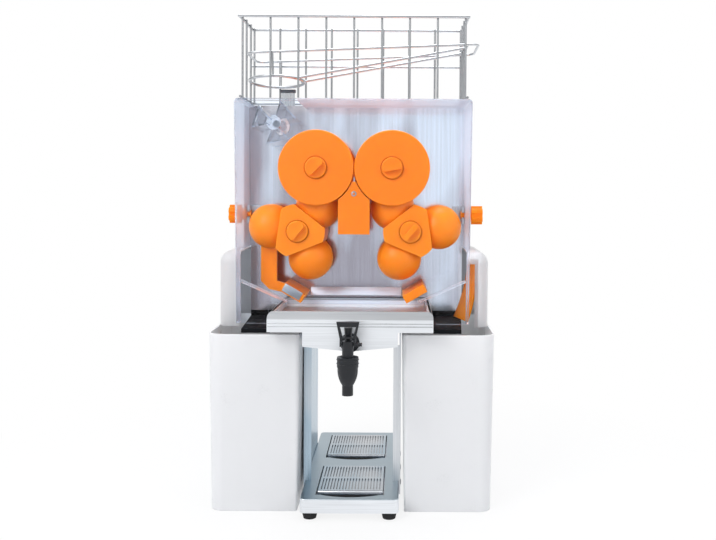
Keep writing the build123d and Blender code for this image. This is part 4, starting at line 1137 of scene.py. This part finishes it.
class JuicerGridParts(bpy.types.Operator):
    """Give each drip grid its rolled lip, the sheet under its slots and the painted shade of its
    finger recess
    """

    bl_idname = "juicer.grid_parts"
    bl_label = "Finish the drip grids"

    def execute(self, context):
        for side in ("front", "rear"):
            low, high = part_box(f"{side}_drip_grid")
            self.roll_lip(side, low, high)
            self.lay_sheet(side, low, high)
            self.paint_recess_shade(side, low, high)
        return {"FINISHED"}

    def roll_lip(self, side, low, high):
        """The rolled edge that a finger lifts the grid by."""
        radius = sizes().grid_lip
        clear_selection()
        bpy.ops.mesh.primitive_cylinder_add(
            vertices=20,
            radius=radius,
            depth=high.x - low.x - LIP_SHORTER * MM,
            location=(0, low.y, high.z - radius),
            rotation=(0, math.pi / 2, 0),
        )
        edit()
        pick_faces(lambda face: abs(face.normal.z) > 0.9)
        bpy.ops.mesh.bevel(offset=LIP_EDGE_SHARE * radius, segments=3, affect="EDGES")
        finish_piece(f"{side}_grid_lip", f"{side}_grid", "sheet_across")

    def lay_sheet(self, side, low, high):
        """The sheet under the slots, with a slope towards the front that lets the drops run off."""
        middle = (low + high) / 2
        level = high.z - GRID_SHEET * MM
        inset = 2 * GRID_SHEET * MM + GRID_SHEET_PLAY * MM
        add_box(
            (high.x - low.x - inset, high.y - low.y - inset, GRID_SHEET_THICK * MM),
            (middle.x, middle.y, level - GRID_SHEET_SINK * MM),
        )
        edit()
        pick_faces(looks_ahead)
        bpy.ops.transform.translate(value=(0, 0, -GRID_SHEET_FALL * MM))
        round_edges(GRID_SHEET_EDGE * MM, 2)
        finish_piece(f"{side}_grid_sheet", f"{side}_grid", "shaft")

    def paint_recess_shade(self, side, low, high):
        """A dark inlay on the base, painted shade of the recess that lets a finger under the lip.
        """
        chord = RECESS_SHARE * (high.x - low.x)
        depth = RECESS_DEPTH * MM
        radius = (chord * chord / 4 + depth * depth) / (2 * depth)
        edge = low.y - RECESS_GAP * MM
        clear_selection()
        bpy.ops.mesh.primitive_cylinder_add(
            vertices=180,
            radius=radius,
            depth=RECESS_THICK * MM,
            location=(0, edge - depth + radius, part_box("base_pan")[1].z),
        )
        edit()
        bpy.ops.mesh.select_all(action="SELECT")
        bpy.ops.mesh.bisect(
            plane_co=(0, edge, 0), plane_no=BACK, clear_outer=True, use_fill=True
        )
        pick_faces(lambda face: face.normal.z > 0.9)
        bpy.ops.mesh.inset(thickness=RECESS_RIM * MM)
        bpy.ops.transform.translate(value=(0, 0, -RECESS_DISH * MM))
        finish_piece(f"{side}_grid_recess_shade", "frame", "coat")


class JuicerPaintedShadeWings(bpy.types.Operator):
    """Fold the black wings of the deck beside the tank, dark sheets of painted shade that close the
    chamber from below
    """

    bl_idname = "juicer.deck_wings"
    bl_label = "Fold the deck wings"

    def execute(self, context):
        tank_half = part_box("juice_tank")[1].x
        low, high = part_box("deck_plate")
        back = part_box("splash_apron")[0].y
        bin_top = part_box("left_peel_bin")[1].z
        front = WING_FRONT * MM
        inner = tank_half + WING_TANK_GAP * MM
        outer = high.x - WING_OUTER_GAP * MM
        narrower = (WING_TIP * MM - inner) / (outer - inner)
        drop = low.z - bin_top - WING_BIN_GAP * MM
        # of the faces that look down, only the fold's is smaller than a square centimetre
        fold_area = 100 * MM * MM
        for side, sign in (("left", -1), ("right", 1)):
            add_box(
                (outer - inner, back - front, high.z - low.z),
                (sign * (inner + outer) / 2, (front + back) / 2, (low.z + high.z) / 2),
            )
            edit()
            pick_faces(looks_ahead)
            bpy.ops.transform.resize(value=(narrower, 1, 1), center_override=(sign * inner, 0, 0))
            bpy.ops.mesh.extrude_region_move(
                TRANSFORM_OT_translate={"value": FRONT * WING_FOLD * MM}
            )
            bpy.ops.mesh.select_all(action="DESELECT")
            pick_faces(lambda face: face.normal.z < -0.9 and face.calc_area() < fold_area)
            bpy.ops.mesh.extrude_region_move(TRANSFORM_OT_translate={"value": (0, 0, -drop)})
            round_edges(WING_EDGE * MM, 2)
            finish_piece(f"{side}_painted_shade_wing", "frame", "coat")
        return {"FINISHED"}


class JuicerPostCap(bpy.types.Operator):
    """Put the dark cap on the feed post"""

    bl_idname = "juicer.post_cap"
    bl_label = "Cap the feed post"

    def execute(self, context):
        low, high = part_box("ramp_post")
        rise = sizes().post_cap
        middle = (low + high) / 2
        add_box(
            (high.x - low.x + CAP_WIDER * MM, CAP_DEPTH * MM, rise),
            (middle.x, low.y + CAP_OUT * MM, high.z - rise / 2),
        )
        edit()
        round_edges(CAP_EDGE * MM, 3)
        finish_piece("post_cap", "frame", "nylon")
        return {"FINISHED"}


class JuicerStage(bpy.types.Operator):
    """Lay the floor, light it like a small studio and stand the camera as for the photograph"""

    bl_idname = "juicer.stage"
    bl_label = "Set the stage"

    def execute(self, context):
        self.lay_floor()
        self.light()
        self.fill_world()
        self.stand_camera()
        context.scene.view_settings.view_transform = "Standard"
        return {"FINISHED"}

    def lay_floor(self):
        """A pale floor that stays white for the camera and still takes a shadow."""
        clear_selection()
        bpy.ops.mesh.primitive_plane_add(size=FLOOR_SIZE, location=(0, 0, -FLOOR_DROP))
        floor = bpy.context.object
        floor.name = "studio_floor"
        material, tree, place = new_material("Matt white studio floor")
        specks = add(tree, "ShaderNodeTexNoise", {"Scale": per_mm(40)}, {"Vector": place})
        rough = add(
            tree,
            "ShaderNodeMapRange",
            {"To Min": 0.75, "To Max": 0.9},
            {"Value": specks.outputs[0]},
        )
        paint = add(
            tree,
            "ShaderNodeBsdfPrincipled",
            {"Base Color": shade(colours().floor, 1), "IOR": 1.3},
            {"Roughness": rough.outputs[0]},
        )
        glow = add(tree, "ShaderNodeEmission", {"Color": opaque("FFFFFF"), "Strength": 1})
        shown = self.shown_white(tree)
        away = add(tree, "ShaderNodeVectorMath", {"operation": "LENGTH"}, {"Vector": place})
        fade = add(
            tree,
            "ShaderNodeMapRange",
            {"From Min": 0.32, "From Max": 0.8, "To Min": 0.8, "To Max": 1},
            {"Value": away.outputs["Value"]},
        )
        share = add(
            tree,
            "ShaderNodeMath",
            {"operation": "MULTIPLY"},
            {"Value": shown, "Value_001": fade.outputs[0]},
        )
        mixed = add(
            tree,
            "ShaderNodeMixShader",
            {},
            {"Fac": share.outputs[0], "Shader": paint.outputs[0], "Shader_001": glow.outputs[0]},
        )
        add(tree, "ShaderNodeOutputMaterial", {}, {"Surface": mixed.outputs[0]})
        floor.data.materials.append(material)

    def shown_white(self, tree):
        """1 for rays that show the background: from the camera, in gloss or through glass."""
        path = add(tree, "ShaderNodeLightPath")
        seen = add(
            tree,
            "ShaderNodeMath",
            {"operation": "MAXIMUM"},
            {
                "Value": path.outputs["Is Camera Ray"],
                "Value_001": path.outputs["Is Transmission Ray"],
            },
        )
        return add(
            tree,
            "ShaderNodeMath",
            {"operation": "MAXIMUM"},
            {"Value": seen.outputs[0], "Value_001": path.outputs["Is Glossy Ray"]},
        ).outputs[0]

    def light(self):
        """A large soft lamp on the upper left, a weaker one on the right and one above."""
        for name, place, size, watts in LAMPS:
            clear_selection()
            bpy.ops.object.light_add(type="AREA", location=place)
            lamp = bpy.context.object
            lamp.name = name
            lamp.rotation_euler = (LAMP_TARGET - place).to_track_quat("-Z", "Y").to_euler()
            lamp.data.shape = "DISK"
            lamp.data.size = size
            lamp.data.energy = watts

    def fill_world(self):
        """An even grey fill, which shows as white behind the object."""
        world = bpy.data.worlds.new("Studio fill")
        bpy.context.scene.world = world
        world.use_nodes = True
        tree = world.node_tree
        tree.nodes.clear()
        fill = add(
            tree, "ShaderNodeBackground", {"Color": opaque(FILL_TINT), "Strength": FILL_STRENGTH}
        )
        white = add(tree, "ShaderNodeBackground", {"Color": opaque("FFFFFF"), "Strength": 1})
        mixed = add(
            tree,
            "ShaderNodeMixShader",
            {},
            {
                "Fac": self.shown_white(tree),
                "Shader": fill.outputs[0],
                "Shader_001": white.outputs[0],
            },
        )
        add(tree, "ShaderNodeOutputWorld", {}, {"Surface": mixed.outputs[0]})

    def stand_camera(self):
        """A camera that looks a little down through a shifted lens, so that edges stay upright."""
        bpy.ops.object.camera_add(location=Vector(CAMERA_PLACE) * MM)
        camera = bpy.context.object
        camera.name = "photo_camera"
        camera.rotation_euler = (math.pi / 2 - CAMERA_PITCH, -CAMERA_ROLL, CAMERA_YAW)
        camera.data.sensor_width = SENSOR_MM
        camera.data.lens = FOCAL_PIXELS * SENSOR_MM / FRAME_WIDTH
        camera.data.shift_x = (FRAME_WIDTH / 2 - AXIS_PIXEL[0]) / FRAME_WIDTH
        camera.data.shift_y = (AXIS_PIXEL[1] - FRAME_HEIGHT / 2) / FRAME_WIDTH
        bpy.context.scene.camera = camera


class JuicerPanel(bpy.types.Panel):
    """Sidebar panel with the juicer's colours, sizes and steps"""

    bl_idname = "VIEW3D_PT_juicer"
    bl_label = "Juicer"
    bl_space_type = "VIEW_3D"
    bl_region_type = "UI"
    bl_category = "Juicer"

    def draw(self, context):
        for group in (context.scene.juicer_colours, context.scene.juicer_sizes):
            box = self.layout.box()
            for name in group.__annotations__:
                box.prop(group, name)
        for step in STEPS:
            self.layout.operator(step.bl_idname)


STEPS = (
    JuicerFinishes,
    JuicerScrews,
    JuicerTapRings,
    JuicerTapPin,
    JuicerTankBeads,
    JuicerDripLedge,
    JuicerScraper,
    JuicerGridParts,
    JuicerPaintedShadeWings,
    JuicerPostCap,
    JuicerStage,
)
CLASSES = (JuicerColours, JuicerSizes, *STEPS, JuicerPanel)


def register():
    """Register the classes and hang their settings on the scene."""
    for made in CLASSES:
        bpy.utils.register_class(made)
    bpy.types.Scene.juicer_colours = PointerProperty(type=JuicerColours)
    bpy.types.Scene.juicer_sizes = PointerProperty(type=JuicerSizes)


def unregister():
    """Take the settings and classes away again."""
    del bpy.types.Scene.juicer_sizes
    del bpy.types.Scene.juicer_colours
    for made in reversed(CLASSES):
        bpy.utils.unregister_class(made)


def main():
    """Dress the juicer step by step."""
    register()
    bpy.ops.juicer.finishes()
    bpy.ops.juicer.screws()
    bpy.ops.juicer.tap_rings()
    bpy.ops.juicer.tap_pin()
    bpy.ops.juicer.tank_beads()
    bpy.ops.juicer.drip_ledge()
    bpy.ops.juicer.scraper()
    bpy.ops.juicer.grid_parts()
    bpy.ops.juicer.deck_wings()
    bpy.ops.juicer.post_cap()
    bpy.ops.juicer.stage()


if __name__ == "__main__":
    main()
